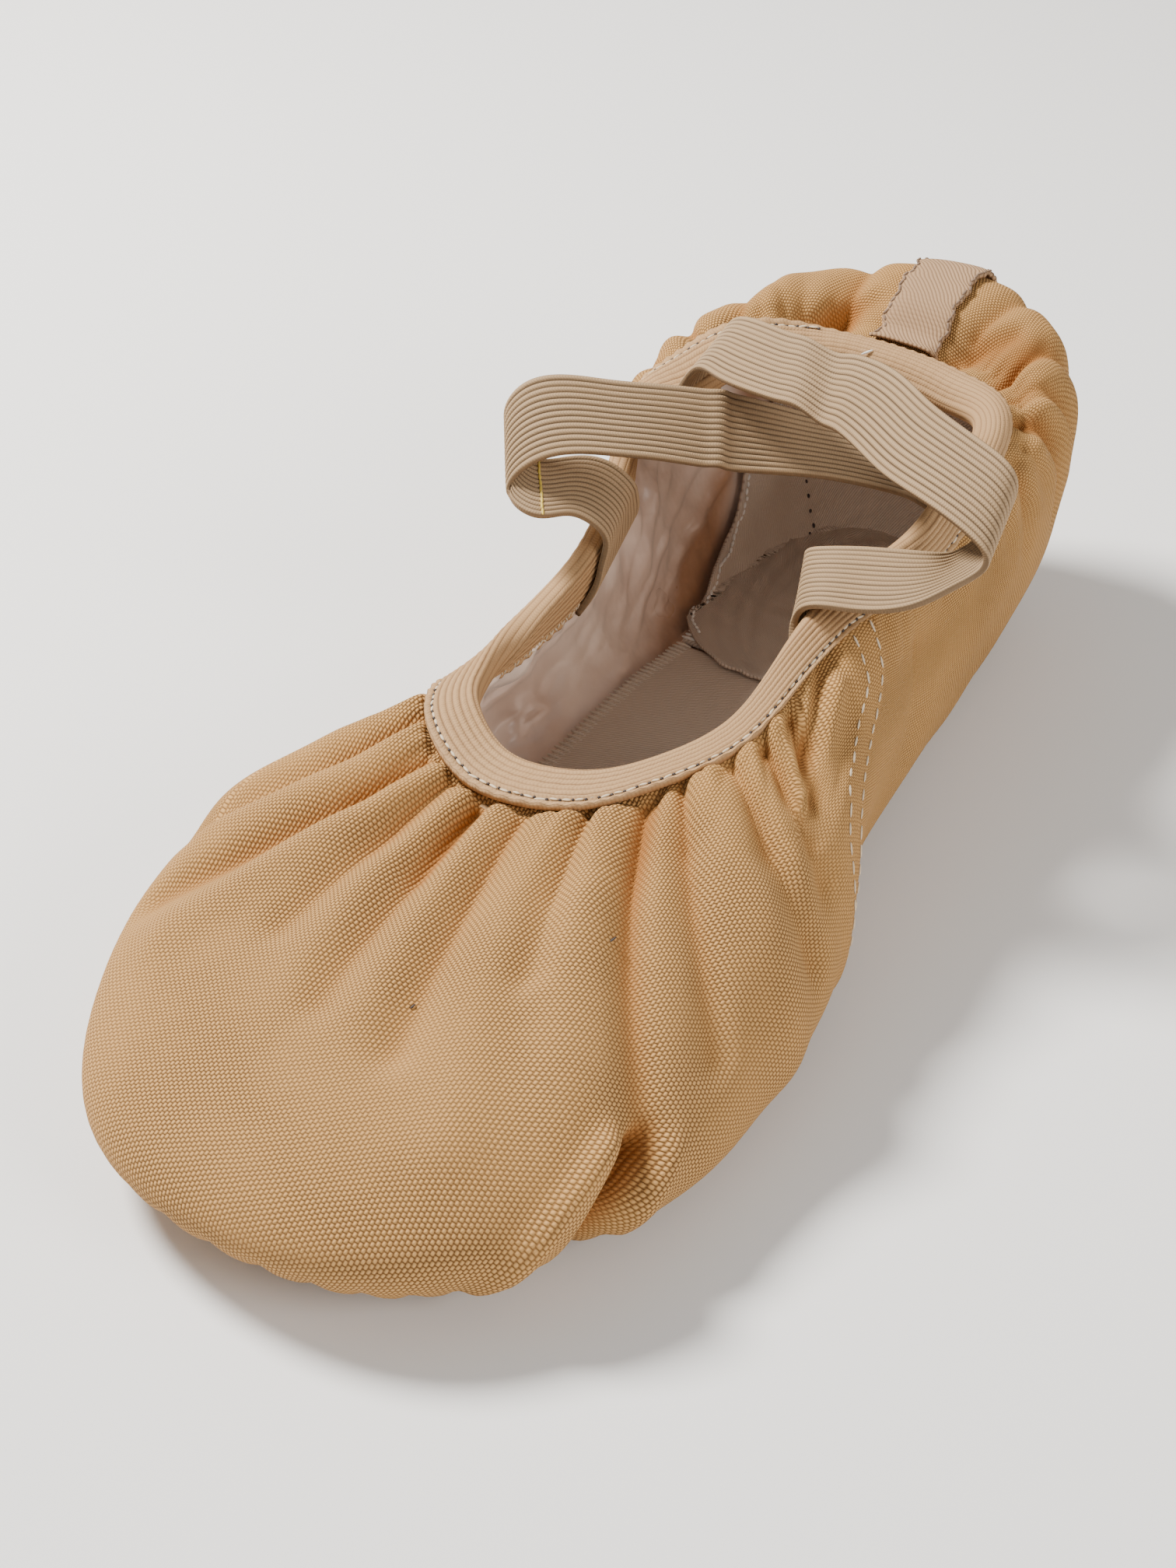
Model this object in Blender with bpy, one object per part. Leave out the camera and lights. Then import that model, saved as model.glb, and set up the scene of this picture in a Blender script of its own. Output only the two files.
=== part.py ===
"""Canvas ballet shoe, split sole, with a gathered elastic collar and two crossed elastic straps.

The shoe stands empty on its two suede pads. Its length lies along X with the toe at +X, the wearer's
left is +Y and up is +Z. The canvas upper is one hollow wall. It is a loft of ribs, and each rib runs
from the collar down over the side, round the edge and under the foot. Lengths are in metres.
"""

from collections import namedtuple

import bmesh
import bpy
import numpy as np
from mathutils import Vector

# Driving sizes of the resting shoe
LENGTH = 0.205
BALL_WIDTH = 0.090
COLLAR_WIDTH = 0.0515
COLLAR_HEIGHT = 0.0495
SIDE_HEIGHT = 0.020
ARCH_LIFT = 0.0015
EDGE_RISE = 0.0010

# Thicknesses of the layers, and the gap that one layer keeps to the next
CANVAS_WALL = 0.0014
PAD_THICKNESS = 0.0016
INSOLE_THICKNESS = 0.0013
INSOLE_EASE = 0.0005
TAPE_THICKNESS = 0.0007
CLEARANCE = 0.0003

# Elastic that binds the collar, folded over the canvas edge. Along the heel it is rolled, and only
# ROLLED_SHARE of its width is left.
BINDING_WIDTH = 0.0085
BINDING_LEAF = 0.0008
ROLLED_SHARE = 0.55

# Elastic straps, and how far each end runs down inside the collar
STRAP_WIDTH = 0.0130
STRAP_THICKNESS = 0.0010
STRAP_TAIL = 0.0095
STRAP_EASE = 0.0009

# Tape over the back seam, and the lapped seam on each side
TAPE_WIDTH = 0.0115
TAPE_EASE = 0.0005
SEAM_LAP = 0.0070
SEAM_STEP = 0.0007

# Suede pads under the forefoot and heel, and how far each keeps back from the end of the shoe
FOREPAD_LENGTH = 0.100
FOREPAD_WIDTH = 0.064
FOREPAD_MARGIN = 0.008
FOREPAD_START = LENGTH - FOREPAD_MARGIN - FOREPAD_LENGTH
HEELPAD_LENGTH = 0.056
HEELPAD_WIDTH = 0.040
HEELPAD_START = 0.0115

# Insole pieces over the pads. The heel piece runs forward to the forefoot piece.
FORE_INSOLE_LENGTH = 0.131
FORE_INSOLE_WIDTH = 0.065
FORE_INSOLE_MARGIN = 0.0165
FORE_INSOLE_START = LENGTH - FORE_INSOLE_MARGIN - FORE_INSOLE_LENGTH
INSOLE_JOIN = 0.0010
HEEL_INSOLE_WIDTH = 0.040
HEEL_INSOLE_START = 0.0130
HEEL_INSOLE_LENGTH = FORE_INSOLE_START - INSOLE_JOIN - HEEL_INSOLE_START

# Natural size of a gathered fold of this canvas
FOLD_WIDTH = 0.0060
FOLD_DEPTH = 0.0030

# Share of a rib that the collar binding covers, as the ribs are measured
BAND_SHARE = 0.12

# Places around the shoe between which the collar elastic is rolled, by way of the heel seam, and how
# soon it is
ROLL_LEFT = 0.16
ROLL_RIGHT = 0.93
ROLL_BLEND = 0.04

# How finely each faceted piece is cut
RIB_COUNT = 104
RIB_CROWDING = 0.050
RIB_ROWS = (0.0, 0.06, 0.12, 0.16, 0.22, 0.29, 0.37, 0.46, 0.55, 0.64, 0.72, 0.79, 0.85, 0.92, 1.0)
RIB_SAMPLES = 80
STRAP_STEPS = 44
OUTLINE_STEPS = 24

# Each rib, from the heel seam round the left side to the toe and back along the right side.
# around: its place round the shoe. The x columns are shares of LENGTH. collar_y is a share of half
# COLLAR_WIDTH, and the other y columns of half BALL_WIDTH. collar_z and crown_z are shares of
# COLLAR_HEIGHT, and wide_z of SIDE_HEIGHT. The collar point is the cut edge of the canvas, crown is
# half-way down, wide is the widest point, edge is where the canvas turns under and turn is its end.
Rib = namedtuple(
    "Rib",
    "around collar_x collar_y collar_z crown_x crown_y crown_z wide_x wide_y wide_z edge_x edge_y turn_x turn_y",
)
RIBS = [
    Rib(0.000, 0.110, 0.00, 0.97, 0.000, 0.00, 1.06, 0.000, 0.00, 1.22, 0.036, 0.00, 0.100, 0.00),
    Rib(0.050, 0.118, 0.48, 0.95, 0.034, 0.43, 1.04, 0.022, 0.44, 1.21, 0.052, 0.33, 0.112, 0.16),
    Rib(0.100, 0.163, 0.79, 0.97, 0.127, 0.63, 0.92, 0.105, 0.65, 1.18, 0.115, 0.49, 0.162, 0.25),
    Rib(0.160, 0.250, 0.91, 0.95, 0.236, 0.68, 0.80, 0.229, 0.69, 1.02, 0.229, 0.53, 0.250, 0.20),
    Rib(0.220, 0.331, 0.96, 0.92, 0.340, 0.66, 0.71, 0.345, 0.70, 0.86, 0.350, 0.54, 0.341, 0.00),
    Rib(0.280, 0.414, 0.85, 0.92, 0.452, 0.72, 0.65, 0.481, 0.75, 0.75, 0.486, 0.61, 0.431, 0.00),
    Rib(0.340, 0.492, 0.80, 0.86, 0.562, 0.80, 0.62, 0.613, 0.95, 0.60, 0.613, 0.81, 0.562, 0.32),
    Rib(0.390, 0.549, 0.73, 0.75, 0.661, 0.76, 0.62, 0.761, 1.00, 0.55, 0.751, 0.86, 0.692, 0.57),
    Rib(0.430, 0.589, 0.50, 0.69, 0.745, 0.57, 0.62, 0.871, 0.87, 0.62, 0.850, 0.74, 0.823, 0.53),
    Rib(0.465, 0.616, 0.25, 0.66, 0.796, 0.33, 0.61, 0.967, 0.54, 0.70, 0.937, 0.48, 0.898, 0.31),
    Rib(0.500, 0.630, -0.06, 0.65, 0.818, 0.00, 0.61, 1.000, 0.00, 0.68, 0.965, 0.00, 0.925, 0.00),
    Rib(0.535, 0.624, -0.36, 0.65, 0.797, -0.32, 0.61, 0.965, -0.56, 0.67, 0.935, -0.50, 0.898, -0.31),
    Rib(0.570, 0.601, -0.62, 0.68, 0.747, -0.58, 0.62, 0.870, -0.88, 0.72, 0.850, -0.75, 0.823, -0.53),
    Rib(0.610, 0.561, -0.79, 0.66, 0.667, -0.72, 0.59, 0.750, -0.99, 0.76, 0.740, -0.85, 0.692, -0.57),
    Rib(0.660, 0.501, -0.89, 0.66, 0.566, -0.65, 0.50, 0.610, -0.91, 0.76, 0.610, -0.77, 0.562, -0.32),
    Rib(0.720, 0.414, -0.89, 0.71, 0.451, -0.56, 0.52, 0.476, -0.73, 0.70, 0.481, -0.59, 0.431, 0.00),
    Rib(0.780, 0.344, -0.98, 0.83, 0.334, -0.60, 0.69, 0.345, -0.68, 0.88, 0.350, -0.52, 0.341, 0.00),
    Rib(0.840, 0.268, -1.10, 1.00, 0.241, -0.75, 0.88, 0.231, -0.69, 1.01, 0.231, -0.53, 0.250, -0.20),
    Rib(0.900, 0.173, -0.90, 1.05, 0.133, -0.68, 0.99, 0.110, -0.64, 1.16, 0.120, -0.48, 0.162, -0.25),
    Rib(0.950, 0.121, -0.49, 0.99, 0.042, -0.46, 1.03, 0.023, -0.43, 1.23, 0.053, -0.32, 0.112, -0.16),
]

# How far down its rib each named point lies
RIB_KNOTS = (0.0, 0.34, 0.64, 0.82, 1.0)

# The folds that the collar elastic gathers into the canvas. Each runs from one place to another, and a
# place is around the shoe and down the rib. wide is a share of FOLD_WIDTH and deep of FOLD_DEPTH, where
# a negative depth is a ridge.
Fold = namedtuple("Fold", "around_a down_a around_b down_b wide deep")
FOLDS = [
    Fold(0.300, 0.13, 0.322, 0.19, 0.50, 0.70),
    Fold(0.338, 0.20, 0.348, 0.30, 0.50, 0.40),
    Fold(0.374, 0.14, 0.344, 0.37, 0.50, 0.60),
    Fold(0.392, 0.15, 0.360, 0.42, 0.60, 0.75),
    Fold(0.404, 0.19, 0.374, 0.58, 0.90, -0.50),
    Fold(0.415, 0.16, 0.402, 0.50, 0.50, 0.55),
    Fold(0.433, 0.15, 0.422, 0.66, 0.60, 0.85),
    Fold(0.422, 0.66, 0.430, 0.78, 0.60, 0.95),
    Fold(0.448, 0.16, 0.442, 0.60, 0.90, -0.35),
    Fold(0.460, 0.14, 0.458, 0.32, 0.50, 0.55),
    Fold(0.472, 0.18, 0.462, 0.56, 0.80, -0.30),
    Fold(0.490, 0.15, 0.484, 0.44, 0.70, 0.55),
    Fold(0.517, 0.14, 0.507, 0.42, 0.60, 0.55),
    Fold(0.538, 0.14, 0.533, 0.38, 0.50, 0.50),
    Fold(0.548, 0.16, 0.560, 0.52, 0.70, -0.40),
    Fold(0.556, 0.13, 0.577, 0.54, 0.60, 0.75),
    Fold(0.588, 0.13, 0.602, 0.46, 0.60, 0.60),
    Fold(0.606, 0.16, 0.618, 0.52, 0.80, -0.35),
    Fold(0.620, 0.14, 0.642, 0.40, 0.60, 0.65),
    Fold(0.652, 0.14, 0.674, 0.36, 0.50, 0.50),
    Fold(0.692, 0.13, 0.702, 0.30, 0.50, 0.45),
    Fold(0.880, 0.14, 0.884, 0.30, 0.50, 0.45),
    Fold(0.908, 0.14, 0.916, 0.34, 0.55, 0.60),
    Fold(0.935, 0.16, 0.938, 0.34, 0.60, -0.40),
    Fold(0.942, 0.18, 0.974, 0.16, 0.50, 0.85),
    Fold(0.028, 0.15, 0.050, 0.17, 0.45, 0.65),
    Fold(0.060, 0.15, 0.066, 0.32, 0.55, 0.55),
    Fold(0.098, 0.14, 0.106, 0.34, 0.55, 0.60),
    Fold(0.132, 0.14, 0.140, 0.28, 0.50, 0.45),
]

# The cut edge of the front canvas on the left side, where it laps over the back canvas
SeamPlace = namedtuple("SeamPlace", "down around")
SEAM = [
    SeamPlace(0.00, 0.276),
    SeamPlace(0.12, 0.274),
    SeamPlace(0.18, 0.276),
    SeamPlace(0.22, 0.281),
    SeamPlace(0.26, 0.296),
    SeamPlace(0.30, 0.309),
    SeamPlace(0.36, 0.315),
    SeamPlace(1.00, 0.316),
]

# Width of each pad and insole along its length, as shares, from the back to the front
Outline = namedtuple("Outline", "along half")
FOREPAD_OUTLINE = [
    Outline(0.00, 0.22),
    Outline(0.03, 0.42),
    Outline(0.13, 0.68),
    Outline(0.34, 0.92),
    Outline(0.56, 1.00),
    Outline(0.76, 0.92),
    Outline(0.91, 0.66),
    Outline(0.98, 0.34),
    Outline(1.00, 0.12),
]
HEELPAD_OUTLINE = [
    Outline(0.00, 0.16),
    Outline(0.04, 0.48),
    Outline(0.16, 0.82),
    Outline(0.38, 1.00),
    Outline(0.65, 0.92),
    Outline(0.88, 0.66),
    Outline(0.98, 0.34),
    Outline(1.00, 0.14),
]
FORE_INSOLE_OUTLINE = [
    Outline(0.00, 0.61),
    Outline(0.10, 0.63),
    Outline(0.25, 0.66),
    Outline(0.40, 0.73),
    Outline(0.54, 0.90),
    Outline(0.68, 1.00),
    Outline(0.82, 0.92),
    Outline(0.93, 0.64),
    Outline(0.985, 0.32),
    Outline(1.00, 0.12),
]
HEEL_INSOLE_OUTLINE = [
    Outline(0.00, 0.16),
    Outline(0.05, 0.45),
    Outline(0.22, 0.78),
    Outline(0.40, 0.91),
    Outline(0.58, 0.98),
    Outline(0.80, 1.00),
    Outline(1.00, 1.00),
]

# Places along each strap's two long edges, between its sewn ends. near is the edge towards the toe.
# The x columns are shares of LENGTH, y of half COLLAR_WIDTH and z of COLLAR_HEIGHT.
StrapPlace = namedtuple("StrapPlace", "near_x near_y near_z far_x far_y far_z")
STRAP_OVER = [
    StrapPlace(0.458, 0.73, 0.90, 0.401, 0.56, 0.95),
    StrapPlace(0.463, 0.83, 0.96, 0.406, 0.66, 1.00),
    StrapPlace(0.460, 1.04, 0.98, 0.401, 0.91, 1.03),
    StrapPlace(0.445, 1.37, 1.02, 0.383, 1.25, 1.03),
    StrapPlace(0.420, 1.49, 1.04, 0.360, 1.34, 1.01),
    StrapPlace(0.399, 1.57, 1.06, 0.340, 1.47, 1.09),
    StrapPlace(0.396, 1.57, 1.11, 0.343, 1.54, 1.23),
    StrapPlace(0.388, 1.34, 1.16, 0.333, 1.33, 1.29),
    StrapPlace(0.352, 0.80, 1.15, 0.301, 0.86, 1.30),
    StrapPlace(0.310, 0.33, 1.14, 0.256, 0.38, 1.27),
    StrapPlace(0.300, -0.02, 1.15, 0.242, -0.04, 1.24),
    StrapPlace(0.278, -0.58, 1.12, 0.219, -0.57, 1.21),
    StrapPlace(0.262, -0.82, 1.07, 0.201, -0.83, 1.11),
]
STRAP_UNDER = [
    StrapPlace(0.403, -0.74, 0.77, 0.347, -0.83, 0.86),
    StrapPlace(0.407, -0.80, 0.83, 0.352, -0.94, 0.91),
    StrapPlace(0.416, -0.91, 0.87, 0.363, -1.12, 0.93),
    StrapPlace(0.441, -1.03, 0.90, 0.390, -1.32, 0.95),
    StrapPlace(0.441, -1.18, 0.92, 0.391, -1.44, 1.01),
    StrapPlace(0.432, -1.25, 0.95, 0.386, -1.50, 1.08),
    StrapPlace(0.419, -1.19, 1.00, 0.377, -1.45, 1.15),
    StrapPlace(0.384, -0.79, 1.03, 0.339, -1.04, 1.16),
    StrapPlace(0.362, -0.60, 1.00, 0.315, -0.83, 1.13),
    StrapPlace(0.314, -0.29, 0.91, 0.266, -0.48, 1.05),
    StrapPlace(0.270, 0.12, 0.86, 0.212, -0.06, 0.92),
    StrapPlace(0.262, 0.50, 0.86, 0.201, 0.38, 0.90),
]

# Where the middle of each sewn strap end lies, as a place around the shoe
OVER_FIRST_END = 0.302
OVER_LAST_END = 0.868
UNDER_FIRST_END = 0.752
UNDER_LAST_END = 0.158


def smooth_step(value):
    """Rises from 0 to 1 as value does, with level ends."""
    held = np.clip(value, 0.0, 1.0)
    return held * held * (3.0 - 2.0 * held)


def open_spline(knots, rows, places):
    """The natural cubic spline through rows at knots, read at places."""
    knots = np.asarray(knots, float)
    shape = rows.shape[1:]
    flat = rows.reshape(len(knots), -1)
    step = np.diff(knots)
    slope = np.diff(flat, axis=0) / step[:, None]
    system = np.eye(len(knots))
    wanted = np.zeros_like(flat)
    for i in range(1, len(knots) - 1):
        system[i, i - 1 : i + 2] = step[i - 1], 2.0 * (step[i - 1] + step[i]), step[i]
        wanted[i] = 6.0 * (slope[i] - slope[i - 1])
    bend = np.linalg.solve(system, wanted)
    return _spline_values(knots, step, flat, bend, places).reshape((len(places),) + shape)


def closed_spline(knots, rows, places):
    """The cubic spline through rows at knots that closes on itself after 1, read at places."""
    knots = np.asarray(knots, float)
    count = len(knots)
    step = np.diff(np.append(knots, knots[0] + 1.0))
    slope = (np.roll(rows, -1, axis=0) - rows) / step[:, None]
    system = np.zeros((count, count))
    for i in range(count):
        system[i, i - 1] += step[i - 1]
        system[i, i] += 2.0 * (step[i - 1] + step[i])
        system[i, (i + 1) % count] += step[i]
    bend = np.linalg.solve(system, 6.0 * (slope - np.roll(slope, 1, axis=0)))
    ring_knots = np.append(knots, knots[0] + 1.0)
    ring_rows = np.vstack([rows, rows[:1]])
    ring_bend = np.vstack([bend, bend[:1]])
    return _spline_values(ring_knots, step, ring_rows, ring_bend, np.mod(places, 1.0))


def _spline_values(knots, step, rows, bend, places):
    """Reads a cubic spline whose second derivatives at the knots are bend."""
    span = np.clip(np.searchsorted(knots, places, side="right") - 1, 0, len(step) - 1)
    width = step[span][:, None]
    past = np.asarray(places)[:, None] - knots[span][:, None]
    left = width - past
    curved = (bend[span] * left**3 + bend[span + 1] * past**3) / (6.0 * width)
    start = (rows[span] / width - bend[span] * width / 6.0) * left
    end = (rows[span + 1] / width - bend[span + 1] * width / 6.0) * past
    return curved + start + end


def unit(vectors):
    """Vectors of length one, along the last axis."""
    return vectors / np.linalg.norm(vectors, axis=-1, keepdims=True)


def arch_rise(x):
    """How far the canvas lifts off the floor between the two pads."""
    middle = LENGTH * 0.375
    reach = LENGTH * 0.13
    return ARCH_LIFT * smooth_step(1.0 - np.abs(x - middle) / reach)


def rib_knot_points(arounds):
    """The five named points of every rib, as an array of knot, rib and coordinate."""
    table = np.array(RIBS)
    arounds = np.mod(arounds, 1.0)
    ribs = closed_spline(table[:, 0], table[:, 1:], arounds)
    value = dict(zip(Rib._fields[1:], ribs.T))
    half_collar = COLLAR_WIDTH / 2.0
    half_ball = BALL_WIDTH / 2.0
    base = PAD_THICKNESS + CLEARANCE
    turn_x = value["turn_x"] * LENGTH
    left = arounds < 0.5
    turn_y = np.where(left, np.maximum(value["turn_y"], 0.0), np.minimum(value["turn_y"], 0.0))
    from_arch = np.abs(turn_x / LENGTH - 0.40)
    turn_y = turn_y * half_ball * smooth_step((from_arch - 0.08) / 0.05)
    edge_x = value["edge_x"] * LENGTH
    points = np.array(
        [
            [value["collar_x"] * LENGTH, value["collar_y"] * half_collar, value["collar_z"] * COLLAR_HEIGHT],
            [value["crown_x"] * LENGTH, value["crown_y"] * half_ball, value["crown_z"] * COLLAR_HEIGHT],
            [value["wide_x"] * LENGTH, value["wide_y"] * half_ball, value["wide_z"] * SIDE_HEIGHT],
            [edge_x, value["edge_y"] * half_ball, base + EDGE_RISE + arch_rise(edge_x)],
            [turn_x, turn_y, base + arch_rise(turn_x)],
        ]
    )
    return points.transpose(0, 2, 1)


def smooth_form(arounds, downs):
    """Points of the canvas before it is gathered, for each rib in arounds and each share in downs.

    A share up to BAND_SHARE measures the binding's own width down the rib, and the rest of the rib
    is shared evenly by length below it.
    """
    knots = rib_knot_points(arounds)
    dense = open_spline(RIB_KNOTS, knots, np.linspace(0.0, 1.0, RIB_SAMPLES)).transpose(1, 0, 2)
    steps = np.linalg.norm(np.diff(dense, axis=1), axis=2)
    run = np.concatenate([np.zeros((len(arounds), 1)), np.cumsum(steps, axis=1)], axis=1)
    downs = np.asarray(downs, float)
    in_band = np.minimum(downs / BAND_SHARE, 1.0) * BINDING_WIDTH
    below = np.maximum(downs - BAND_SHARE, 0.0) / (1.0 - BAND_SHARE)
    wanted = in_band + below * (run[:, -1:] - BINDING_WIDTH)
    points = np.empty((len(arounds), len(downs), 3))
    for i in range(len(arounds)):
        for axis in range(3):
            points[i, :, axis] = np.interp(wanted[i], run[i], dense[i, :, axis])
    lowest = PAD_THICKNESS + CLEARANCE + arch_rise(points[:, :, 0])
    points[:, :, 2] = np.maximum(points[:, :, 2], lowest)
    return points


def fold_height(arounds, downs, around_length, down_length):
    """How far the folds lift the canvas along its normal, for arrays of places and local lengths."""
    lift = np.zeros_like(around_length)
    around = np.asarray(arounds)[:, None] + np.zeros_like(lift)
    down = np.asarray(downs)[None, :] + np.zeros_like(lift)
    for fold in FOLDS:
        offset = np.mod(around - fold.around_a + 0.5, 1.0) - 0.5
        across = (fold.around_b - fold.around_a) * around_length
        along = (fold.down_b - fold.down_a) * down_length
        from_x = offset * around_length
        from_y = (down - fold.down_a) * down_length
        share = (from_x * across + from_y * along) / (across**2 + along**2)
        held = np.clip(share, 0.0, 1.0)
        away = np.hypot(from_x - held * across, from_y - held * along)
        width = fold.wide * FOLD_WIDTH
        fade = 1.0 - 0.6 * held
        lift -= fold.deep * FOLD_DEPTH * fade * np.exp(-((away / width) ** 2))
    in_binding = smooth_step((down - BAND_SHARE * 0.9) / (BAND_SHARE * 0.5))
    under_foot = smooth_step((0.92 - down) / 0.12)
    return lift * in_binding * under_foot


def seam_place(down):
    """Where the cut edge of the front canvas crosses each height of the left side, around the shoe."""
    table = np.array(SEAM)
    return np.interp(down, table[:, 0], table[:, 1])


def seam_height(arounds, downs, around_length):
    """The step of the lapped seam on each side, where two layers of canvas lie together."""
    around = np.asarray(arounds)[:, None] + np.zeros_like(around_length)
    down = np.asarray(downs)[None, :] + np.zeros_like(around_length)
    lift = np.zeros_like(around_length)
    for side in (around, 1.0 - around):
        ahead = (side - seam_place(down)) * around_length
        raised = smooth_step(ahead / (SEAM_LAP * 0.15) + 0.5)
        lowered = smooth_step((SEAM_LAP * 1.6 - ahead) / (SEAM_LAP * 0.6))
        lift += SEAM_STEP * raised * lowered
    above_sole = smooth_step((0.74 - down) / 0.10)
    return lift * above_sole


def shoe_form(arounds, downs, outward=0.0):
    """Points of the gathered canvas, moved outward by the given distance along its normal."""
    tiny = 0.002
    here = smooth_form(arounds, downs)
    ahead = smooth_form(np.asarray(arounds) + tiny, downs)
    behind = smooth_form(np.asarray(arounds) - tiny, downs)
    lower = smooth_form(arounds, np.minimum(np.asarray(downs) + tiny, 1.0))
    upper = smooth_form(arounds, np.maximum(np.asarray(downs) - tiny, 0.0))
    span = np.minimum(np.asarray(downs) + tiny, 1.0) - np.maximum(np.asarray(downs) - tiny, 0.0)
    by_around = (ahead - behind) / (2.0 * tiny)
    by_down = (lower - upper) / span[None, :, None]
    around_length = np.linalg.norm(by_around, axis=2)
    down_length = np.linalg.norm(by_down, axis=2)
    normal = unit(np.cross(by_around, by_down))
    lift = fold_height(arounds, downs, around_length, down_length)
    lift = lift + seam_height(arounds, downs, around_length) + outward
    return here + normal * lift[:, :, None]


def rib_places():
    """Places round the shoe of the faceted ribs, closer together round the toe than the heel."""
    even = np.arange(RIB_COUNT) / RIB_COUNT
    return even + RIB_CROWDING * np.sin(2.0 * np.pi * even)


def shoe_piece(name, points, faces, colour, roughness):
    """A new closed object from its points and faces, with outward normals and its own material."""
    mesh = bpy.data.meshes.new(name)
    mesh.from_pydata([tuple(point) for point in points], [], faces)
    body = bmesh.new()
    body.from_mesh(mesh)
    loose = [vert for vert in body.verts if not vert.link_faces]
    bmesh.ops.delete(body, geom=loose, context="VERTS")
    bmesh.ops.recalc_face_normals(body, faces=body.faces)
    bmesh.ops.triangulate(body, faces=body.faces)
    if body.calc_volume(signed=True) < 0.0:
        bmesh.ops.reverse_faces(body, faces=body.faces)
    body.to_mesh(mesh)
    body.free()
    material = bpy.data.materials.new(name)
    material.use_nodes = True
    surface = material.node_tree.nodes["Principled BSDF"]
    surface.inputs["Base Color"].default_value = colour + (1.0,)
    surface.inputs["Roughness"].default_value = roughness
    mesh.materials.append(material)
    piece = bpy.data.objects.new(name, mesh)
    bpy.context.scene.collection.objects.link(piece)
    return piece


def loft(rings, closed):
    """Faces and points of a tube through equal rings, joined end to start or capped at both ends."""
    count = len(rings)
    size = len(rings[0])
    points = np.concatenate(rings)
    faces = []
    for i in range(count if closed else count - 1):
        here = i * size
        ahead = (i + 1) % count * size
        for j in range(size):
            side = (j + 1) % size
            faces.append((here + j, here + side, ahead + side, ahead + j))
    if not closed:
        faces.append(tuple(range(size)))
        faces.append(tuple(range((count - 1) * size, count * size)))
    return points, faces


def build_upper():
    """The canvas wall as one hollow solid, open at the collar and under each pad."""
    outer = shoe_form(rib_places(), RIB_ROWS)
    inner = shoe_form(rib_places(), RIB_ROWS, -CANVAS_WALL)
    count, rows = outer.shape[:2]
    index = np.arange(count * rows).reshape(count, rows)
    last = rows - 1
    for i in range(count // 2 + 1, count):
        partner = count - i
        if abs(outer[i, last, 1]) < 0.000001:
            index[i, last] = index[partner, last]
            inner[partner, last] = (inner[partner, last] + inner[i, last]) / 2.0
    half = count * rows
    faces = []
    for i in range(count):
        ahead = (i + 1) % count
        for k in range(last):
            corners = (index[i, k], index[i, k + 1], index[ahead, k + 1], index[ahead, k])
            faces.append(corners)
            faces.append(tuple(half + corner for corner in reversed(corners)))
        faces.append((index[i, 0], index[ahead, 0], half + index[ahead, 0], half + index[i, 0]))
        joined = {index[i, last], index[ahead, last]}
        mirrored = {index[-i % count, last], index[-ahead % count, last]}
        if joined != mirrored:
            faces.append((index[i, last], index[ahead, last], half + index[ahead, last], half + index[i, last]))
    points = np.concatenate([outer.reshape(-1, 3), inner.reshape(-1, 3)])
    return shoe_piece("upper", points, faces, (0.58, 0.38, 0.22), 0.9)


def binding_face(places, outward):
    """One face of the collar elastic, which narrows where it is rolled."""
    rows = np.array([0.0, BAND_SHARE / 2.0, BAND_SHARE])
    wide = shoe_form(places, rows, outward)
    narrow = shoe_form(places, rows * ROLLED_SHARE, outward)
    left = smooth_step((ROLL_LEFT - np.mod(places, 1.0)) / ROLL_BLEND)
    right = smooth_step((np.mod(places, 1.0) - ROLL_RIGHT) / ROLL_BLEND)
    rolled = np.maximum(left, right)
    return wide + (narrow - wide) * rolled[:, None, None]


def build_binding():
    """The collar elastic as one closed ring folded over the canvas edge."""
    places = rib_places()
    near = CLEARANCE
    far = CLEARANCE + BINDING_LEAF
    outside = binding_face(places, far)
    outside_back = binding_face(places, near)
    inside = binding_face(places, -CANVAS_WALL - far)
    inside_back = binding_face(places, -CANVAS_WALL - near)
    middle = binding_face(places, -CANVAS_WALL / 2.0)
    rise = unit(middle[:, 0] - middle[:, 1])
    rings = []
    for i in range(len(places)):
        ring = [outside[i, 2], outside[i, 1], outside[i, 0] + rise[i] * near]
        ring.append(middle[i, 0] + rise[i] * far)
        ring += [inside[i, 0] + rise[i] * near, inside[i, 1], inside[i, 2]]
        ring += [inside_back[i, 2], inside_back[i, 1], inside_back[i, 0] + rise[i] * near]
        ring += [outside_back[i, 0] + rise[i] * near, outside_back[i, 1], outside_back[i, 2]]
        rings.append(np.array(ring))
    points, faces = loft(rings, True)
    return shoe_piece("collar_binding", points, faces, (0.52, 0.34, 0.21), 0.85)


def outline_halves(outline):
    """Places along a pad or insole and its half width there, both as shares."""
    table = np.array(outline)
    knots = np.linspace(0.0, 1.0, len(table))
    return open_spline(knots, table, np.linspace(0.0, 1.0, OUTLINE_STEPS))


def build_sheet(name, outline, start, length, width, bottom, thickness, colour, roughness):
    """A flat pad or an insole that follows the lift of the arch."""
    rings = []
    for along, half in outline_halves(outline):
        x = start + length * along
        side = width / 2.0 * half
        low = bottom + (arch_rise(x) if bottom > 0.0 else 0.0)
        ring = [(x, side, low), (x, 0.0, low), (x, -side, low)]
        ring += [(x, -side, low + thickness), (x, 0.0, low + thickness), (x, side, low + thickness)]
        rings.append(np.array(ring))
    points, faces = loft(rings, False)
    return shoe_piece(name, points, faces, colour, roughness)


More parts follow.
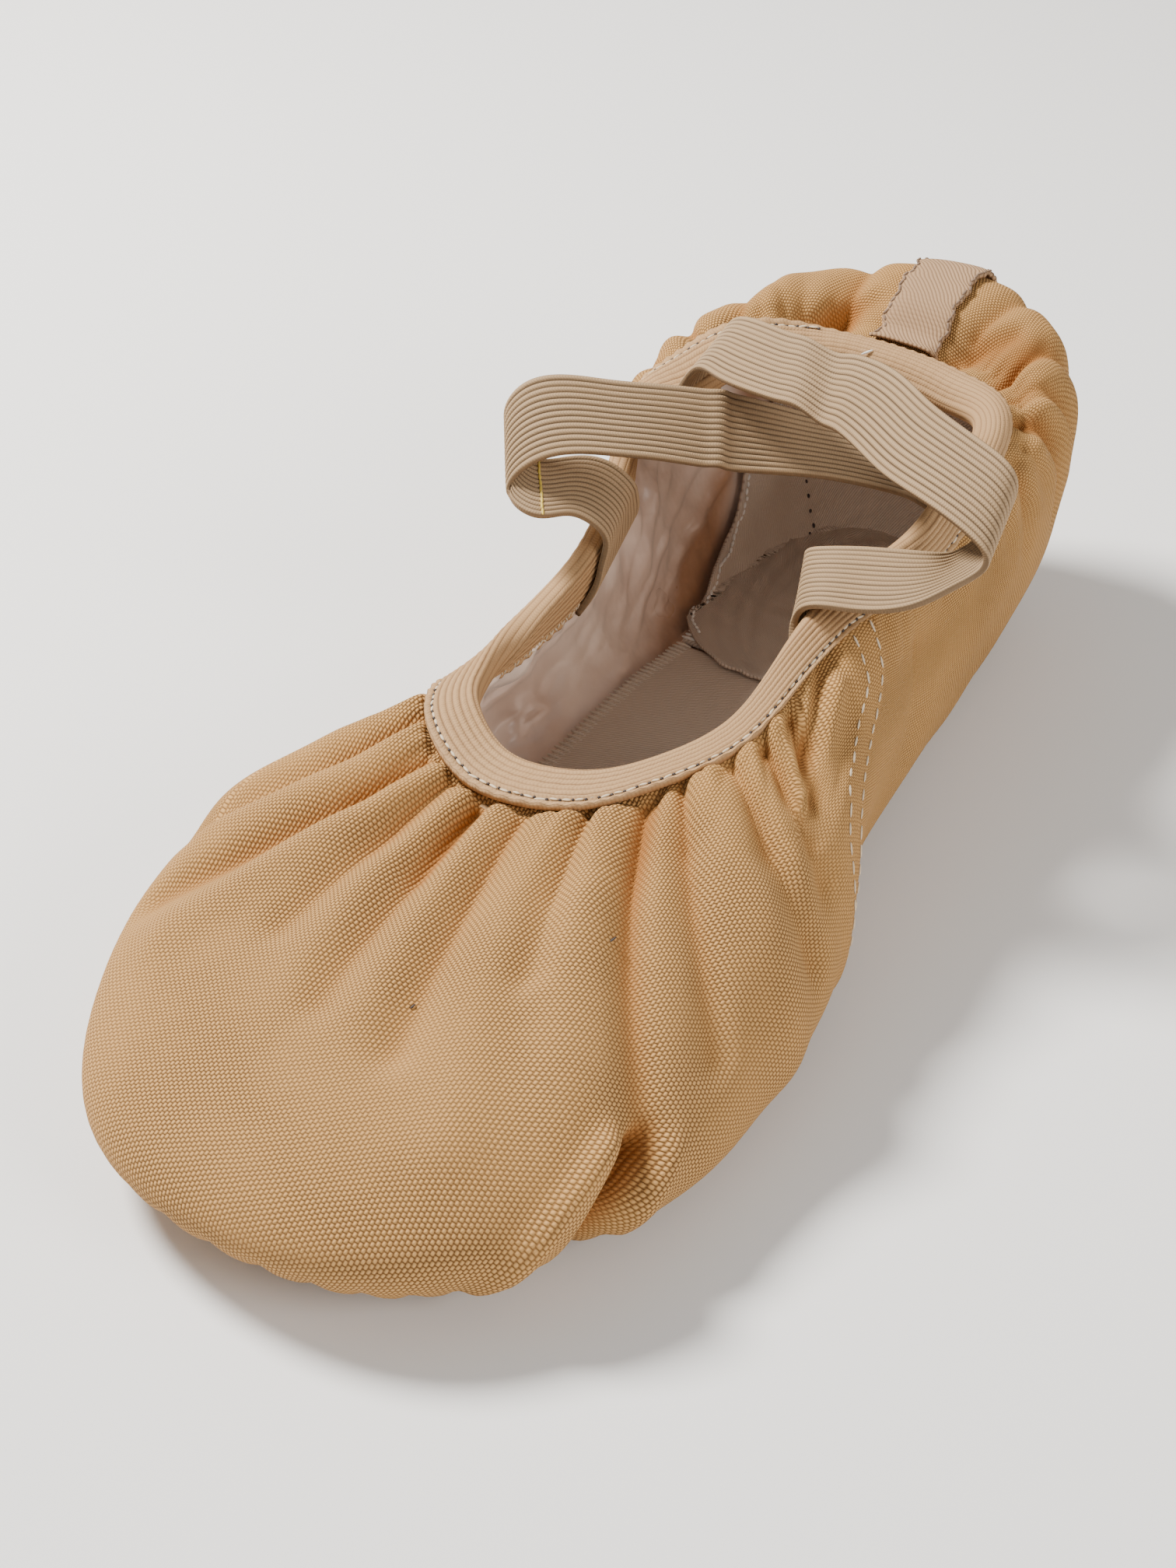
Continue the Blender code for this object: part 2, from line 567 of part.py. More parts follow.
def sewn_end(around, direction):
    """Cross lines of a strap end down the inside of the collar, from its top to its bottom."""
    depth = CANVAS_WALL + CLEARANCE + BINDING_LEAF + CLEARANCE + STRAP_THICKNESS / 2.0
    tiny = 0.002
    edge = shoe_form([around - tiny, around + tiny], [0.0], -depth)[:, 0]
    reach = STRAP_WIDTH / 2.0 * 2.0 * tiny / np.linalg.norm(edge[1] - edge[0])
    share = BAND_SHARE * STRAP_TAIL / BINDING_WIDTH
    downs = np.array([0.1, 0.55, 1.0]) * share
    across = [around + reach * direction, around, around - reach * direction]
    return shoe_form(across, downs, -depth - STRAP_EASE).transpose(1, 0, 2)


def strap_lines(places, first_end, last_end, first_direction):
    """Cross lines of a strap from one sewn end to the other, each of near, middle and far points."""
    size = np.array([LENGTH, COLLAR_WIDTH / 2.0, COLLAR_HEIGHT])
    lines = []
    for place in places:
        near = np.array(place[:3]) * size
        far = np.array(place[3:]) * size
        lines.append(np.array([near, (near + far) / 2.0, far]))
    start = sewn_end(first_end, first_direction)[::-1]
    finish = sewn_end(last_end, -first_direction)
    knots = np.concatenate([start, lines, finish])
    run = np.concatenate([[0.0], np.cumsum(np.linalg.norm(np.diff(knots[:, 1], axis=0), axis=1))])
    return open_spline(run / run[-1], knots, np.linspace(0.0, 1.0, STRAP_STEPS))


def build_strap(name, places, first_end, last_end, first_direction):
    """An elastic strap as one solid ribbon."""
    lines = strap_lines(places, first_end, last_end, first_direction)
    along = np.gradient(lines, axis=0)
    across = unit(lines[:, 2] - lines[:, 0])[:, None, :] + np.zeros_like(lines)
    normal = unit(np.cross(along, across))
    top = lines + normal * STRAP_THICKNESS / 2.0
    bottom = lines - normal * STRAP_THICKNESS / 2.0
    rings = [np.concatenate([top[i], bottom[i][::-1]]) for i in range(len(lines))]
    points, faces = loft(rings, False)
    return shoe_piece(name, points, faces, (0.42, 0.28, 0.17), 0.85)


def build_tape():
    """The twill tape over the back seam, from the rolled collar down to the sole."""
    tiny = 0.002
    downs = np.concatenate([[BAND_SHARE * ROLLED_SHARE + 0.02], RIB_ROWS[2:11]])
    step = np.linalg.norm(shoe_form([tiny], downs)[0] - shoe_form([-tiny], downs)[0], axis=1) / (2.0 * tiny)
    rings = []
    for down, stretch in zip(downs, step):
        reach = TAPE_WIDTH / 2.0 / stretch
        across = np.array([-1.0, -0.33, 0.33, 1.0]) * reach
        low = shoe_form(across, [down], TAPE_EASE)[:, 0]
        high = shoe_form(across, [down], TAPE_EASE + TAPE_THICKNESS)[:, 0]
        rings.append(np.concatenate([low, high[::-1]]))
    points, faces = loft(rings, False)
    return shoe_piece("heel_seam_tape", points, faces, (0.45, 0.29, 0.17), 0.9)


def build_shoe():
    """Builds every piece and sets the shoe's middle over the origin with its pads on the floor."""
    inside = PAD_THICKNESS + CLEARANCE + CANVAS_WALL + INSOLE_EASE
    suede = (0.36, 0.24, 0.15)
    cotton = (0.55, 0.46, 0.38)
    pieces = [
        build_upper(),
        build_binding(),
        build_sheet(
            "outsole_forefoot", FOREPAD_OUTLINE, FOREPAD_START, FOREPAD_LENGTH, FOREPAD_WIDTH,
            0.0, PAD_THICKNESS, suede, 0.95,
        ),
        build_sheet(
            "outsole_heel", HEELPAD_OUTLINE, HEELPAD_START, HEELPAD_LENGTH, HEELPAD_WIDTH,
            0.0, PAD_THICKNESS, suede, 0.95,
        ),
        build_sheet(
            "insole_forefoot", FORE_INSOLE_OUTLINE, FORE_INSOLE_START, FORE_INSOLE_LENGTH,
            FORE_INSOLE_WIDTH, inside, INSOLE_THICKNESS, cotton, 0.9,
        ),
        build_sheet(
            "insole_heel", HEEL_INSOLE_OUTLINE, HEEL_INSOLE_START, HEEL_INSOLE_LENGTH,
            HEEL_INSOLE_WIDTH, inside, INSOLE_THICKNESS, cotton, 0.9,
        ),
        build_strap("strap_over", STRAP_OVER, OVER_FIRST_END, OVER_LAST_END, 1.0),
        build_strap("strap_under", STRAP_UNDER, UNDER_FIRST_END, UNDER_LAST_END, -1.0),
        build_tape(),
    ]
    corners = np.array([vert.co for piece in pieces for vert in piece.data.vertices])
    low = corners.min(axis=0)
    high = corners.max(axis=0)
    shift = np.array([-(low[0] + high[0]) / 2.0, -(low[1] + high[1]) / 2.0, -low[2]])
    for piece in pieces:
        for vert in piece.data.vertices:
            vert.co += Vector(shift)


for existing in list(bpy.data.objects):
    bpy.data.objects.remove(existing, do_unlink=True)
build_shoe()
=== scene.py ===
# %% [markdown]
# Canvas ballet shoe, dressed for the camera
#
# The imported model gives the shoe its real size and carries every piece. This lesson puts cloth,
# elastic, suede and thread over it: the canvas in two cut pieces, a satin lining, the folded collar
# elastic, two ribbed straps, the insole pieces, the suede pads and all the sewing.
# Everything is in metres. The toe points along +X, the wearer's left is +Y and up is +Z.

# %% The frame and the imports
from collections import namedtuple

import bmesh
import bpy
import numpy as np
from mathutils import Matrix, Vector


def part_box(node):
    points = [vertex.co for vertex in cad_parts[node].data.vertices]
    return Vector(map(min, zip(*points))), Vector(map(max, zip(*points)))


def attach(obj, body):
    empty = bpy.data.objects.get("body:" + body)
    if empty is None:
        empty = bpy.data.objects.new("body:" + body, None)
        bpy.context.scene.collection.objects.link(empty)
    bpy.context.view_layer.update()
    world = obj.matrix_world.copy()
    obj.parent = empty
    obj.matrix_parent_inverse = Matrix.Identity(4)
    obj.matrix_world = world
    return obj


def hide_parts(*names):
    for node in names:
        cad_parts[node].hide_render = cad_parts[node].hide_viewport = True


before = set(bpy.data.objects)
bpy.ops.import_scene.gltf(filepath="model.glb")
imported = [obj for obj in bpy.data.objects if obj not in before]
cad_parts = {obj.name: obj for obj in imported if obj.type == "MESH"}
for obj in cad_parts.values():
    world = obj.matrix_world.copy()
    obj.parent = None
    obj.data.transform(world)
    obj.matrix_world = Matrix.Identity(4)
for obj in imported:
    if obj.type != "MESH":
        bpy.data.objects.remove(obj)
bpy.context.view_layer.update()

print("solids:", sorted(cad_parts))

# %% [markdown]
# The sizes of the shoe
#
# The canvas shell is one smooth form. A maker would describe it by its length, ball width and collar,
# and by a set of ribs that run from the collar down the side and under the foot. The same named sizes
# made the solids, so the cloth made from them lies exactly where the solids are.

# %% Sizes of the resting shoe
LENGTH = 0.205
BALL_WIDTH = 0.090
COLLAR_WIDTH = 0.0515
COLLAR_HEIGHT = 0.0495
SIDE_HEIGHT = 0.020
ARCH_LIFT = 0.0015
EDGE_RISE = 0.0010

CANVAS_WALL = 0.0014
CANVAS_LAYER = 0.0006
LINING_LAYER = 0.0003
PAD_THICKNESS = 0.0016
INSOLE_THICKNESS = 0.0013
INSOLE_EASE = 0.0005
CLEARANCE = 0.0003
BINDING_WIDTH = 0.0085
BINDING_LEAF = 0.0008
COLLAR_RIBS = 7.0
STRAP_WIDTH = 0.0130
STRAP_THICKNESS = 0.0010
STRAP_RIBS = 13.0
STRAP_TAIL = 0.0086
STRAP_EASE = 0.0005
TAPE_WIDTH = 0.0115
TAPE_EASE = 0.0005
TAPE_THICKNESS = 0.0007
SEAM_LAP = 0.0070
SEAM_STEP = 0.0007
FOLD_WIDTH = 0.0060
FOLD_DEPTH = 0.0034
BAND_SHARE = 0.12
ROLLED_SHARE = 0.55
ROLL_LEFT = 0.16
ROLL_RIGHT = 0.93
ROLL_BLEND = 0.04

FOREPAD_LENGTH = 0.100
FOREPAD_WIDTH = 0.064
FOREPAD_START = LENGTH - 0.008 - FOREPAD_LENGTH
HEELPAD_LENGTH = 0.056
HEELPAD_WIDTH = 0.040
HEELPAD_START = 0.0115
FORE_INSOLE_LENGTH = 0.131
FORE_INSOLE_WIDTH = 0.065
FORE_INSOLE_START = LENGTH - 0.0165 - FORE_INSOLE_LENGTH
HEEL_INSOLE_WIDTH = 0.040
HEEL_INSOLE_START = 0.0130
HEEL_INSOLE_LENGTH = FORE_INSOLE_START - 0.0010 - HEEL_INSOLE_START

# The solids are centred over the origin, so the heel end lies this far from it
pad_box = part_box("outsole_forefoot")
insole_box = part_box("insole_forefoot")
SHIFT = np.array([pad_box[0][0] - FOREPAD_START, (insole_box[0][1] + insole_box[1][1]) / 2.0, 0.0])
print("heel end of the form at x =", round(float(SHIFT[0]), 4))

# %% Ribs of the canvas form, as shares of the sizes above
Rib = namedtuple(
    "Rib",
    "around collar_x collar_y collar_z crown_x crown_y crown_z wide_x wide_y wide_z "
    "edge_x edge_y turn_x turn_y",
)
RIBS = [
    Rib(0.000, 0.110, 0.00, 0.97, 0.000, 0.00, 1.06, 0.000, 0.00, 1.22, 0.036, 0.00, 0.100, 0.00),
    Rib(0.050, 0.118, 0.48, 0.95, 0.034, 0.43, 1.04, 0.022, 0.44, 1.21, 0.052, 0.33, 0.112, 0.16),
    Rib(0.100, 0.163, 0.79, 0.97, 0.127, 0.63, 0.92, 0.105, 0.65, 1.18, 0.115, 0.49, 0.162, 0.25),
    Rib(0.160, 0.250, 0.91, 0.95, 0.236, 0.68, 0.80, 0.229, 0.69, 1.02, 0.229, 0.53, 0.250, 0.20),
    Rib(0.220, 0.331, 0.96, 0.92, 0.340, 0.66, 0.71, 0.345, 0.70, 0.86, 0.350, 0.54, 0.341, 0.00),
    Rib(0.280, 0.414, 0.85, 0.92, 0.452, 0.72, 0.65, 0.481, 0.75, 0.75, 0.486, 0.61, 0.431, 0.00),
    Rib(0.340, 0.492, 0.80, 0.86, 0.562, 0.80, 0.62, 0.613, 0.95, 0.60, 0.613, 0.81, 0.562, 0.32),
    Rib(0.390, 0.549, 0.73, 0.75, 0.661, 0.76, 0.62, 0.761, 1.00, 0.55, 0.751, 0.86, 0.692, 0.57),
    Rib(0.430, 0.589, 0.50, 0.69, 0.745, 0.57, 0.62, 0.871, 0.87, 0.62, 0.850, 0.74, 0.823, 0.53),
    Rib(0.465, 0.616, 0.25, 0.66, 0.796, 0.33, 0.61, 0.967, 0.54, 0.70, 0.937, 0.48, 0.898, 0.31),
    Rib(0.500, 0.630, -0.06, 0.65, 0.818, 0.00, 0.61, 1.000, 0.00, 0.68, 0.965, 0.00, 0.925, 0.00),
    Rib(0.535, 0.624, -0.36, 0.65, 0.797, -0.32, 0.61, 0.965, -0.56, 0.67, 0.935, -0.50, 0.898, -0.31),
    Rib(0.570, 0.601, -0.62, 0.68, 0.747, -0.58, 0.62, 0.870, -0.88, 0.72, 0.850, -0.75, 0.823, -0.53),
    Rib(0.610, 0.561, -0.79, 0.66, 0.667, -0.72, 0.59, 0.750, -0.99, 0.76, 0.740, -0.85, 0.692, -0.57),
    Rib(0.660, 0.501, -0.89, 0.66, 0.566, -0.65, 0.50, 0.610, -0.91, 0.76, 0.610, -0.77, 0.562, -0.32),
    Rib(0.720, 0.414, -0.89, 0.71, 0.451, -0.56, 0.52, 0.476, -0.73, 0.70, 0.481, -0.59, 0.431, 0.00),
    Rib(0.780, 0.344, -0.98, 0.83, 0.334, -0.60, 0.69, 0.345, -0.68, 0.88, 0.350, -0.52, 0.341, 0.00),
    Rib(0.840, 0.268, -1.10, 1.00, 0.241, -0.75, 0.88, 0.231, -0.69, 1.01, 0.231, -0.53, 0.250, -0.20),
    Rib(0.900, 0.173, -0.90, 1.05, 0.133, -0.68, 0.99, 0.110, -0.64, 1.16, 0.120, -0.48, 0.162, -0.25),
    Rib(0.950, 0.121, -0.49, 0.99, 0.042, -0.46, 1.03, 0.023, -0.43, 1.23, 0.053, -0.32, 0.112, -0.16),
]
RIB_KNOTS = (0.0, 0.34, 0.64, 0.82, 1.0)
COLLAR_CENTRE = 0.37

# %% [markdown]
# Smooth curves through a few measured places
#
# Cloth under light tension runs in cubic curves, so a natural spline through five points draws each
# rib, and a closed spline round the shoe draws how the ribs change.
# Writing the spline out keeps the lesson free of other packages.

# %% Splines
TURN = 2.0 * np.pi


def smooth_step(value):
    held = np.clip(value, 0.0, 1.0)
    return held * held * (3.0 - 2.0 * held)


def spline_values(knots, step, rows, bend, places):
    span = np.clip(np.searchsorted(knots, places, side="right") - 1, 0, len(step) - 1)
    width = step[span][:, None]
    past = np.asarray(places)[:, None] - knots[span][:, None]
    left = width - past
    curved = (bend[span] * left**3 + bend[span + 1] * past**3) / (6.0 * width)
    start = (rows[span] / width - bend[span] * width / 6.0) * left
    end = (rows[span + 1] / width - bend[span + 1] * width / 6.0) * past
    return curved + start + end


def open_spline(knots, rows, places):
    knots = np.asarray(knots, float)
    shape = rows.shape[1:]
    flat = rows.reshape(len(knots), -1)
    step = np.diff(knots)
    slope = np.diff(flat, axis=0) / step[:, None]
    system = np.eye(len(knots))
    wanted = np.zeros_like(flat)
    for i in range(1, len(knots) - 1):
        system[i, i - 1 : i + 2] = step[i - 1], 2.0 * (step[i - 1] + step[i]), step[i]
        wanted[i] = 6.0 * (slope[i] - slope[i - 1])
    bend = np.linalg.solve(system, wanted)
    return spline_values(knots, step, flat, bend, places).reshape((len(places),) + shape)


def closed_spline(knots, rows, places):
    knots = np.asarray(knots, float)
    count = len(knots)
    step = np.diff(np.append(knots, knots[0] + 1.0))
    slope = (np.roll(rows, -1, axis=0) - rows) / step[:, None]
    system = np.zeros((count, count))
    for i in range(count):
        system[i, i - 1] += step[i - 1]
        system[i, i] += 2.0 * (step[i - 1] + step[i])
        system[i, (i + 1) % count] += step[i]
    bend = np.linalg.solve(system, 6.0 * (slope - np.roll(slope, 1, axis=0)))
    ring_knots = np.append(knots, knots[0] + 1.0)
    ring_rows = np.vstack([rows, rows[:1]])
    ring_bend = np.vstack([bend, bend[:1]])
    return spline_values(ring_knots, step, ring_rows, ring_bend, np.mod(places, 1.0))


def soft_line(rows, places, count, reach):
    """Straight lines through measured places, with their corners rounded off."""
    table = np.array(rows)
    fine = np.linspace(0.0, 1.0, count)
    line = np.pad(np.interp(fine, table[:, 0], table[:, 1]), reach, mode="edge")
    mean = np.ones(2 * reach + 1) / (2 * reach + 1)
    return np.interp(places, fine, np.convolve(line, mean, mode="valid"))


def bell(value):
    return np.exp(-(value**2))


def unit(vectors):
    return vectors / np.linalg.norm(vectors, axis=-1, keepdims=True)


def run_along(points):
    """How far each point of a row lies along it from the first one."""
    steps = np.linalg.norm(np.diff(points, axis=-2), axis=-1)
    return np.concatenate([np.zeros_like(steps[..., :1]), np.cumsum(steps, axis=-1)], axis=-1)


def stretches(*parts):
    """Places along one line, each part with its own first and last place and its own count."""
    return np.concatenate([np.linspace(*part) for part in parts])


# %% The smooth form of the canvas before it is gathered
def arch_rise(x):
    middle = LENGTH * 0.375
    reach = LENGTH * 0.13
    return ARCH_LIFT * smooth_step(1.0 - np.abs(x - middle) / reach)


def rib_knot_points(arounds):
    table = np.array(RIBS)
    arounds = np.mod(arounds, 1.0)
    ribs = closed_spline(table[:, 0], table[:, 1:], arounds)
    value = dict(zip(Rib._fields[1:], ribs.T))
    half_collar = COLLAR_WIDTH / 2.0
    half_ball = BALL_WIDTH / 2.0
    top = COLLAR_HEIGHT
    base = PAD_THICKNESS + CLEARANCE
    turn_x = value["turn_x"] * LENGTH
    turn_y = np.where(arounds < 0.5, np.maximum(value["turn_y"], 0.0), np.minimum(value["turn_y"], 0.0))
    from_arch = np.abs(turn_x / LENGTH - 0.40)
    turn_y = turn_y * half_ball * smooth_step((from_arch - 0.08) / 0.05)
    edge_x = value["edge_x"] * LENGTH
    points = np.array(
        [
            [value["collar_x"] * LENGTH, value["collar_y"] * half_collar, value["collar_z"] * top],
            [value["crown_x"] * LENGTH, value["crown_y"] * half_ball, value["crown_z"] * top],
            [value["wide_x"] * LENGTH, value["wide_y"] * half_ball, value["wide_z"] * SIDE_HEIGHT],
            [edge_x, value["edge_y"] * half_ball, base + EDGE_RISE + arch_rise(edge_x)],
            [turn_x, turn_y, base + arch_rise(turn_x)],
        ]
    )
    return points.transpose(0, 2, 1)


def smooth_form(arounds, downs):
    knots = rib_knot_points(arounds)
    dense = open_spline(RIB_KNOTS, knots, np.linspace(0.0, 1.0, 80)).transpose(1, 0, 2)
    run = run_along(dense)
    downs = np.asarray(downs, float)
    in_band = np.minimum(downs / BAND_SHARE, 1.0) * BINDING_WIDTH
    below = np.maximum(downs - BAND_SHARE, 0.0) / (1.0 - BAND_SHARE)
    wanted = in_band + below * (run[:, -1:] - BINDING_WIDTH)
    points = np.empty((len(arounds), len(downs), 3))
    for i in range(len(arounds)):
        for axis in range(3):
            points[i, :, axis] = np.interp(wanted[i], run[i], dense[i, :, axis])
    lowest = PAD_THICKNESS + CLEARANCE + arch_rise(points[:, :, 0])
    points[:, :, 2] = np.maximum(points[:, :, 2], lowest)
    return points + heel_lean(np.mod(arounds, 1.0), downs, points)


def heel_lean(arounds, downs, points):
    """Empty, the back of the collar falls inward a little, so that its outside shows from the front."""
    right = smooth_step((arounds - 0.80) / 0.08)
    left = smooth_step((0.14 - arounds) / 0.10)
    share = np.maximum(right, left)[:, None] * (1.0 - smooth_step(downs / 0.24))[None, :]
    inward = np.array([COLLAR_CENTRE * LENGTH, 0.0, 0.0]) - points
    inward[:, :, 2] = 0.0
    most = bell((arounds - 0.875) / 0.05)[:, None, None]
    way = unit(inward) * (0.0042 + 0.0026 * most) - np.array([0.0, 0.0, 1.0]) * (0.0018 + 0.0022 * most)
    return way * share[:, :, None]


# %% [markdown]
# One fine net of the form, read anywhere
#
# Panels, seams and stitch rows all ask for points on the same form at odd places. The form is worked
# out once on a fine net, with its outward direction and its local lengths, and every piece reads it
# from there by plain interpolation.
# around goes once round the shoe from the heel seam by the left side, and down runs from the collar.

# %% The fine net
NET_AROUND = 900
NET_DOWN = 181
NUDGE = 0.002
net_around = np.arange(NET_AROUND) / NET_AROUND
net_down = np.linspace(0.0, 1.0, NET_DOWN)
net_point = smooth_form(net_around, net_down)
ahead, behind = (smooth_form(net_around + nudge, net_down) for nudge in (NUDGE, -NUDGE))
net_by_around = (ahead - behind) / (2.0 * NUDGE)
lower = np.minimum(net_down + NUDGE, 1.0)
upper = np.maximum(net_down - NUDGE, 0.0)
net_by_down = smooth_form(net_around, lower) - smooth_form(net_around, upper)
net_by_down = net_by_down / (lower - upper)[None, :, None]
net_normal = unit(np.cross(net_by_around, net_by_down))
net_length = np.stack([np.linalg.norm(way, axis=2) for way in (net_by_around, net_by_down)], axis=2)
net = np.concatenate([net_point + SHIFT, net_normal, net_length], axis=2)


def between(table, i, ahead, j, a, d):
    """Reads a table between its entries, a share a of the way to row ahead and d to column j + 1."""
    top = table[i, j] * (1.0 - a) + table[ahead, j] * a
    bottom = table[i, j + 1] * (1.0 - a) + table[ahead, j + 1] * a
    return top * (1.0 - d) + bottom * d


def on_form(around, down):
    """Point, outward direction, and local lengths round and down, at any places on the form."""
    across = np.mod(np.asarray(around, float), 1.0) * NET_AROUND
    along = np.clip(np.asarray(down, float), 0.0, 1.0) * (NET_DOWN - 1)
    i = np.floor(across).astype(int) % NET_AROUND
    j = np.minimum(np.floor(along).astype(int), NET_DOWN - 2)
    a = (across - np.floor(across))[..., None]
    value = between(net, i, (i + 1) % NET_AROUND, j, a, (along - j)[..., None])
    return value[..., :3], unit(value[..., 3:6]), value[..., 6], value[..., 7]


def outward_at(around, down):
    return on_form(around, down)[1]


print("the form is", round(float(np.ptp(net_point[..., 0])) * 1000, 1), "mm long")

# %% [markdown]
# The folds
#
# The collar elastic is shorter than the canvas edge that it is sewn to. The spare cloth goes into
# troughs that start under the elastic and fade towards the toe and the heel, with soft ridges between.
# The main ones are listed one by one. Cloth could also be simulated, but a listed trough lands where
# the real one is, every time.

# %% Main folds, one by one
# A place is around the shoe and down from the collar. wide and deep are shares of FOLD_WIDTH and
# FOLD_DEPTH, a negative depth is a ridge, and lean makes one flank steeper than the other.
Fold = namedtuple("Fold", "around_a down_a around_b down_b wide deep lean")
FOLDS = [
    Fold(0.314, 0.08, 0.340, 0.18, 0.42, 0.95, -0.7),
    Fold(0.318, 0.14, 0.344, 0.23, 0.42, -0.70, 0.0),
    Fold(0.338, 0.19, 0.348, 0.32, 0.45, 0.55, 0.3),
    Fold(0.350, 0.11, 0.346, 0.26, 0.36, 0.85, 0.3),
    Fold(0.361, 0.10, 0.352, 0.34, 0.46, -0.45, 0.0),
    Fold(0.372, 0.11, 0.346, 0.40, 0.42, 1.00, 0.4),
    Fold(0.382, 0.10, 0.362, 0.42, 0.50, -0.45, 0.0),
    Fold(0.392, 0.11, 0.357, 0.50, 0.46, 1.10, 0.4),
    Fold(0.405, 0.10, 0.368, 0.62, 0.85, -0.75, 0.0),
    Fold(0.415, 0.11, 0.400, 0.56, 0.45, 0.95, 0.3),
    Fold(0.433, 0.11, 0.421, 0.68, 0.50, 1.20, 0.3),
    Fold(0.424, 0.67, 0.440, 0.86, 0.42, 2.25, -0.6),
    Fold(0.432, 0.66, 0.454, 0.84, 0.36, -0.80, 0.0),
    Fold(0.416, 0.68, 0.424, 0.80, 0.40, -0.50, 0.0),
    Fold(0.448, 0.10, 0.441, 0.66, 0.85, -0.60, 0.0),
    Fold(0.460, 0.11, 0.457, 0.40, 0.44, 0.95, 0.2),
    Fold(0.474, 0.10, 0.463, 0.62, 0.80, -0.50, 0.0),
    Fold(0.490, 0.11, 0.483, 0.52, 0.50, 1.00, 0.2),
    Fold(0.502, 0.10, 0.494, 0.48, 0.60, -0.45, 0.0),
    Fold(0.515, 0.11, 0.507, 0.50, 0.48, 0.95, 0.0),
    Fold(0.527, 0.10, 0.520, 0.44, 0.50, -0.40, 0.0),
    Fold(0.538, 0.11, 0.534, 0.44, 0.44, 0.90, 0.0),
    Fold(0.548, 0.10, 0.558, 0.58, 0.66, -0.65, 0.0),
    Fold(0.556, 0.11, 0.577, 0.60, 0.50, 1.25, -0.4),
    Fold(0.572, 0.10, 0.588, 0.50, 0.62, -0.50, 0.0),
    Fold(0.588, 0.11, 0.603, 0.54, 0.50, 1.00, -0.3),
    Fold(0.605, 0.10, 0.618, 0.56, 0.75, -0.50, 0.0),
    Fold(0.620, 0.11, 0.642, 0.48, 0.50, 0.95, 0.0),
    Fold(0.652, 0.11, 0.674, 0.42, 0.46, 0.80, 0.0),
    Fold(0.692, 0.12, 0.702, 0.34, 0.46, 0.60, 0.0),
    Fold(0.862, 0.12, 0.866, 0.32, 0.45, 0.60, 0.0),
    Fold(0.884, 0.12, 0.892, 0.26, 0.36, 0.55, 0.2),
    Fold(0.906, 0.10, 0.922, 0.26, 0.38, 0.70, 0.3),
    Fold(0.926, 0.13, 0.944, 0.28, 0.50, -0.40, 0.0),
    Fold(0.938, 0.08, 0.974, 0.15, 0.45, 1.10, 0.4),
    Fold(0.962, 0.11, 0.972, 0.34, 0.42, 0.80, -0.3),
    Fold(0.026, 0.08, 0.046, 0.17, 0.42, 1.00, 0.4),
    Fold(0.030, 0.14, 0.036, 0.34, 0.42, 0.70, 0.3),
    Fold(0.060, 0.08, 0.068, 0.36, 0.45, 0.95, 0.0),
    Fold(0.080, 0.09, 0.088, 0.32, 0.38, 0.70, 0.0),
    Fold(0.098, 0.08, 0.108, 0.38, 0.45, 0.90, 0.0),
    Fold(0.132, 0.10, 0.142, 0.30, 0.42, 0.70, 0.0),
    Fold(0.202, 0.12, 0.222, 0.22, 0.60, 0.35, 0.0),
    Fold(0.236, 0.20, 0.244, 0.40, 0.70, 0.30, 0.0),
]


def heel_roll(around):
    """1 along the heel, where the elastic is rolled into a narrow tube."""
    left = smooth_step((ROLL_LEFT - np.mod(around, 1.0)) / ROLL_BLEND)
    right = smooth_step((np.mod(around, 1.0) - ROLL_RIGHT) / ROLL_BLEND)
    return np.maximum(left, right)


# Shares of the band's full width
BandWidth = namedtuple("BandWidth", "around share")
BAND_WIDTHS = [
    BandWidth(0.00, 0.55), BandWidth(0.15, 0.56), BandWidth(0.20, 0.64), BandWidth(0.38, 0.68),
    BandWidth(0.46, 1.02), BandWidth(0.53, 1.06), BandWidth(0.60, 0.98), BandWidth(0.88, 0.92),
    BandWidth(0.95, 0.58), BandWidth(1.00, 0.55),
]


def band_share(around):
    """How far down the form the elastic reaches, as a share, narrow where it stands on edge or rolls."""
    return BAND_SHARE * soft_line(BAND_WIDTHS, np.mod(around, 1.0), 401, 8)


def fold_lift(folds, around, down, around_length, down_length, spread=0.0):
    """How far folds lift the cloth. spread widens a fold from its start to its end."""
    lift = np.zeros_like(around_length)
    for fold in folds:
        offset = np.mod(around - fold.around_a + 0.5, 1.0) - 0.5
        across = (fold.around_b - fold.around_a) * around_length
        along = (fold.down_b - fold.down_a) * down_length
        from_x = offset * around_length
        from_y = (down - fold.down_a) * down_length
        share = (from_x * across + from_y * along) / (across**2 + along**2)
        held = np.clip(share, 0.0, 1.0)
        away = np.hypot(from_x - held * across, from_y - held * along)
        side = np.tanh((from_x * along - from_y * across) / (0.002 * np.hypot(across, along)))
        width = fold.wide * FOLD_WIDTH * (1.0 + spread * held) * (1.0 + 0.55 * fold.lean * side)
        soft = bell(away / width)
        sharp = np.exp(-np.sqrt((away / width) ** 2 * 6.0 + 0.02)) * 1.15
        crisp = 0.0 if fold.deep < 0.0 else 0.55 * (1.0 - held)
        lift -= fold.deep * FOLD_DEPTH * (1.0 - 0.55 * held) * (soft * (1.0 - crisp) + sharp * crisp)
    below_band = down - band_share(around)
    trough_start = smooth_step(below_band / (BAND_SHARE * 0.25) + 1.0)
    ridge_start = smooth_step(below_band / (BAND_SHARE * 0.50) + 0.52)
    in_binding = np.where(lift < 0.0, trough_start, ridge_start)
    deepest = 0.0010 + 0.0060 * smooth_step(below_band / (BAND_SHARE * 0.30))
    lift = np.maximum(lift, -deepest)
    under_foot = smooth_step((0.92 - down) / 0.12)
    return lift * in_binding * under_foot


# %% Fine gathers between the main folds
chance = np.random.default_rng(7)


